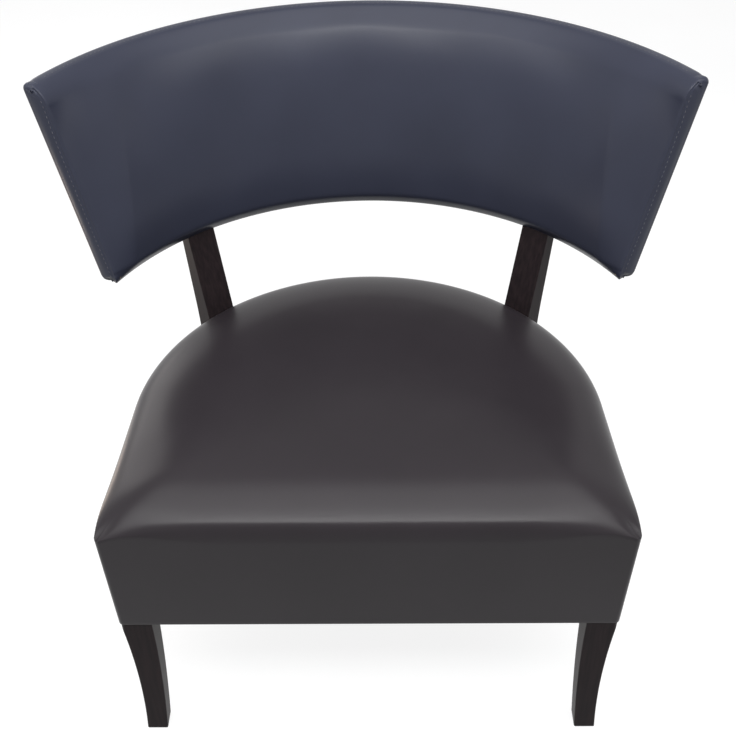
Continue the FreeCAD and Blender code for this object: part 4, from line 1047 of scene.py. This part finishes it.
class BackSizes(bpy.types.PropertyGroup):
    """Sizes of the back and its stitches"""
    radius: length_setting("Radius", "Radius of the front face at its foot", 0.347)
    bottom: length_setting("Bottom", "Height of the back's lower edge", 0.509)
    top: length_setting("Top", "Height of the back's upper edge", 0.775)
    rake: angle_setting("Rake", "Lean of the back", 14.7)
    half_angle: angle_setting("Half angle", "How far the back wraps to each side", 65.5)
    thickness: length_setting("Thickness", "Depth of the back", 0.037)
    crown_rise: length_setting("Crown", "How far the front is crowned", 0.009)
    top_bend: length_setting("Top bend", "How far the front bends back at its top", 0.009)
    foot_bend: length_setting("Foot bend", "How far the front bends back at its foot", 0.006)
    top_roll: length_setting("Top roll", "Radius of the roll at the top of the front", 0.034)
    facet_foot: length_setting("Facet, foot", "Width of the end facets at the foot", 0.035)
    facet_top: length_setting("Facet, top", "Width of the end facets at the top", 0.120)
    end_draw: length_setting("End draw", "How far the front is drawn back at its ends", 0.010)
    end_puff: length_setting("End puff", "How far the end strips stand out", 0.0015)
    seam_radius: length_setting("Seam radius", "Radius of the seam on the top", 0.434)
    tip_round: length_setting("Tip round", "Rounding of the lower tips", 0.004)
    seam_depth: length_setting("Seam depth", "Depth of a seam's groove", 0.0008)
    pucker: length_setting("Pucker", "Depth of the pucker at the top corners", 0.0010)
    pitch: length_setting("Pitch", "Distance between stitches", 0.0065)
    stitch_length: length_setting("Stitch", "Length of a stitch", 0.0038)
    thread_radius: length_setting("Thread", "Radius of the thread", 0.0004)
    stitch_aside: length_setting("Stitch line", "Distance of the stitches from the seam", 0.004)
    swell: length_setting("Swell", "Most that the cover swells", 0.005)


class Colours(bpy.types.PropertyGroup):
    """Colours of the vinyl, the thread and the legs"""
    seat_vinyl: colour_setting("Seat vinyl", "Colour of the seat's vinyl", (0.0192, 0.016, 0.0188))
    back_vinyl: colour_setting("Back vinyl", "Colour of the back's vinyl", (0.0268, 0.0296, 0.0465))
    thread: colour_setting("Thread", "Colour of the stitches", (0.075, 0.075, 0.085))
    leg_dark: colour_setting("Leg, dark", "Darker tone of the stained legs", (0.013, 0.010, 0.011))
    leg_light: colour_setting("Leg, light", "Lighter tone of the stained legs", (0.021, 0.015, 0.016))


class StudioSizes(bpy.types.PropertyGroup):
    """Camera and background of the studio"""
    lens: FloatProperty(name="Lens", description="Focal length in millimetres", default=55.58)
    pitch: angle_setting("Pitch", "How far the camera looks down", 38.41)
    yaw: angle_setting("Yaw", "Turn of the camera", -0.81)
    roll: angle_setting("Roll", "Roll of the camera", 0.87)
    camera_place: FloatVectorProperty(name="Camera place", description="Where the camera stands",
                                      subtype="TRANSLATION", default=(0.01664, -1.21493, 1.34547))
    fill: FloatProperty(name="Fill", description="Strength of the fill light", default=0.3)
    floor_white: FloatProperty(name="Floor white", description="Glow that lifts the floor to white",
                               default=0.84)


GROUPS = (
    ("lounge_seat", SeatSizes), ("lounge_back", BackSizes),
    ("lounge_colours", Colours), ("lounge_studio", StudioSizes),
)


# Operators
class LOUNGE_OT_finish_frame(bpy.types.Operator):
    """Give every piece of the chair's frame its material"""
    bl_idname = "lounge.finish_frame"
    bl_label = "Frame finishes"

    def execute(self, context):
        finish_frame(context.scene.lounge_colours)
        return {"FINISHED"}


class LOUNGE_OT_seat_cover(bpy.types.Operator):
    """Make the crowned seat cover"""
    bl_idname = "lounge.seat_cover"
    bl_label = "Seat cover"

    def execute(self, context):
        material = vinyl("seat_vinyl", context.scene.lounge_colours.seat_vinyl, VINYL_ROUGHNESS)
        seat_cover(context.scene.lounge_seat, material, foam_material())
        return {"FINISHED"}


class LOUNGE_OT_back_covers(bpy.types.Operator):
    """Make the inside cover, the outside cover and the two end strips of the back"""
    bl_idname = "lounge.back_covers"
    bl_label = "Back covers"

    def execute(self, context):
        colours = context.scene.lounge_colours
        material = vinyl("back_vinyl", colours.back_vinyl, VINYL_ROUGHNESS)
        thread = fibrous("stitching_thread", colours.thread, scaled(colours.thread, 1.4), 2500)
        back_covers(context.scene.lounge_back, material, foam_material(), thread)
        return {"FINISHED"}


class LOUNGE_OT_stage(bpy.types.Operator):
    """Make the pale floor, the soft lights and the camera"""
    bl_idname = "lounge.stage"
    bl_label = "Studio"

    def execute(self, context):
        sizes = context.scene.lounge_studio
        context.scene.view_settings.view_transform = "Standard"
        floor_piece(sizes)
        studio_world(sizes)
        back, seat = (0, 0.1, 0.65), (0, 0, 0.4)
        soft_light("ceiling_light", (0, -0.65, 2.6), (0, -0.3, 0), 2.4, 2.0, 45, (1, 1, 1))
        soft_light("window_light", (0, -1.25, 2.1), back, 1.3, 0.4, 20, (1, 1, 1))
        soft_light("rear_light", (-1.7, 1.75, 1.3), seat, 1.2, 1.2, 10, (1, 0.96, 0.94))
        soft_light("left_light", (-1.9, 0.0, 0.85), back, 0.5, 0.4, 2.0, (1, 0.97, 0.95))
        soft_light("right_light", (1.9, 0.0, 0.85), back, 0.5, 0.4, 2.4, (0.97, 0.97, 1))
        soft_light("left_corner_light", (-1.15, -0.8, 1.9), seat, 0.9, 0.8, 9, (1, 1, 1))
        soft_light("right_corner_light", (1.15, -0.8, 1.9), seat, 0.9, 0.8, 9, (1, 1, 1))
        soft_light("warm_light", (-1.05, 0.38, 0.11), (-0.24, 0.13, 0.45), 0.5, 0.2, 1.2, (1, 0.80, 0.66))
        studio_camera(sizes)
        return {"FINISHED"}


OPERATORS = (LOUNGE_OT_finish_frame, LOUNGE_OT_seat_cover, LOUNGE_OT_back_covers, LOUNGE_OT_stage)


class LOUNGE_PT_chair(bpy.types.Panel):
    """Lists the makers of the chair's pieces"""
    bl_label = "Lounge chair"
    bl_idname = "LOUNGE_PT_chair"
    bl_space_type = "VIEW_3D"
    bl_region_type = "UI"
    bl_category = "Lounge chair"

    def draw(self, context):
        for maker in OPERATORS:
            self.layout.operator(maker.bl_idname)
        for name, group in GROUPS:
            box = self.layout.box()
            for setting in group.__annotations__:
                box.prop(getattr(context.scene, name), setting)


CLASSES = tuple(group for _, group in GROUPS) + OPERATORS + (LOUNGE_PT_chair,)


def register():
    """Makes the operators, the panel and the settings known."""
    for item in CLASSES:
        bpy.utils.register_class(item)
    for name, group in GROUPS:
        setattr(bpy.types.Scene, name, PointerProperty(type=group))


def unregister():
    """Takes back what register did."""
    for name, _ in GROUPS:
        delattr(bpy.types.Scene, name)
    for item in reversed(CLASSES):
        bpy.utils.unregister_class(item)


def main():
    """Makes the chair and its studio."""
    register()
    bpy.ops.lounge.finish_frame()
    bpy.ops.lounge.seat_cover()
    bpy.ops.lounge.back_covers()
    bpy.ops.lounge.stage()


if __name__ == "__main__":
    main()
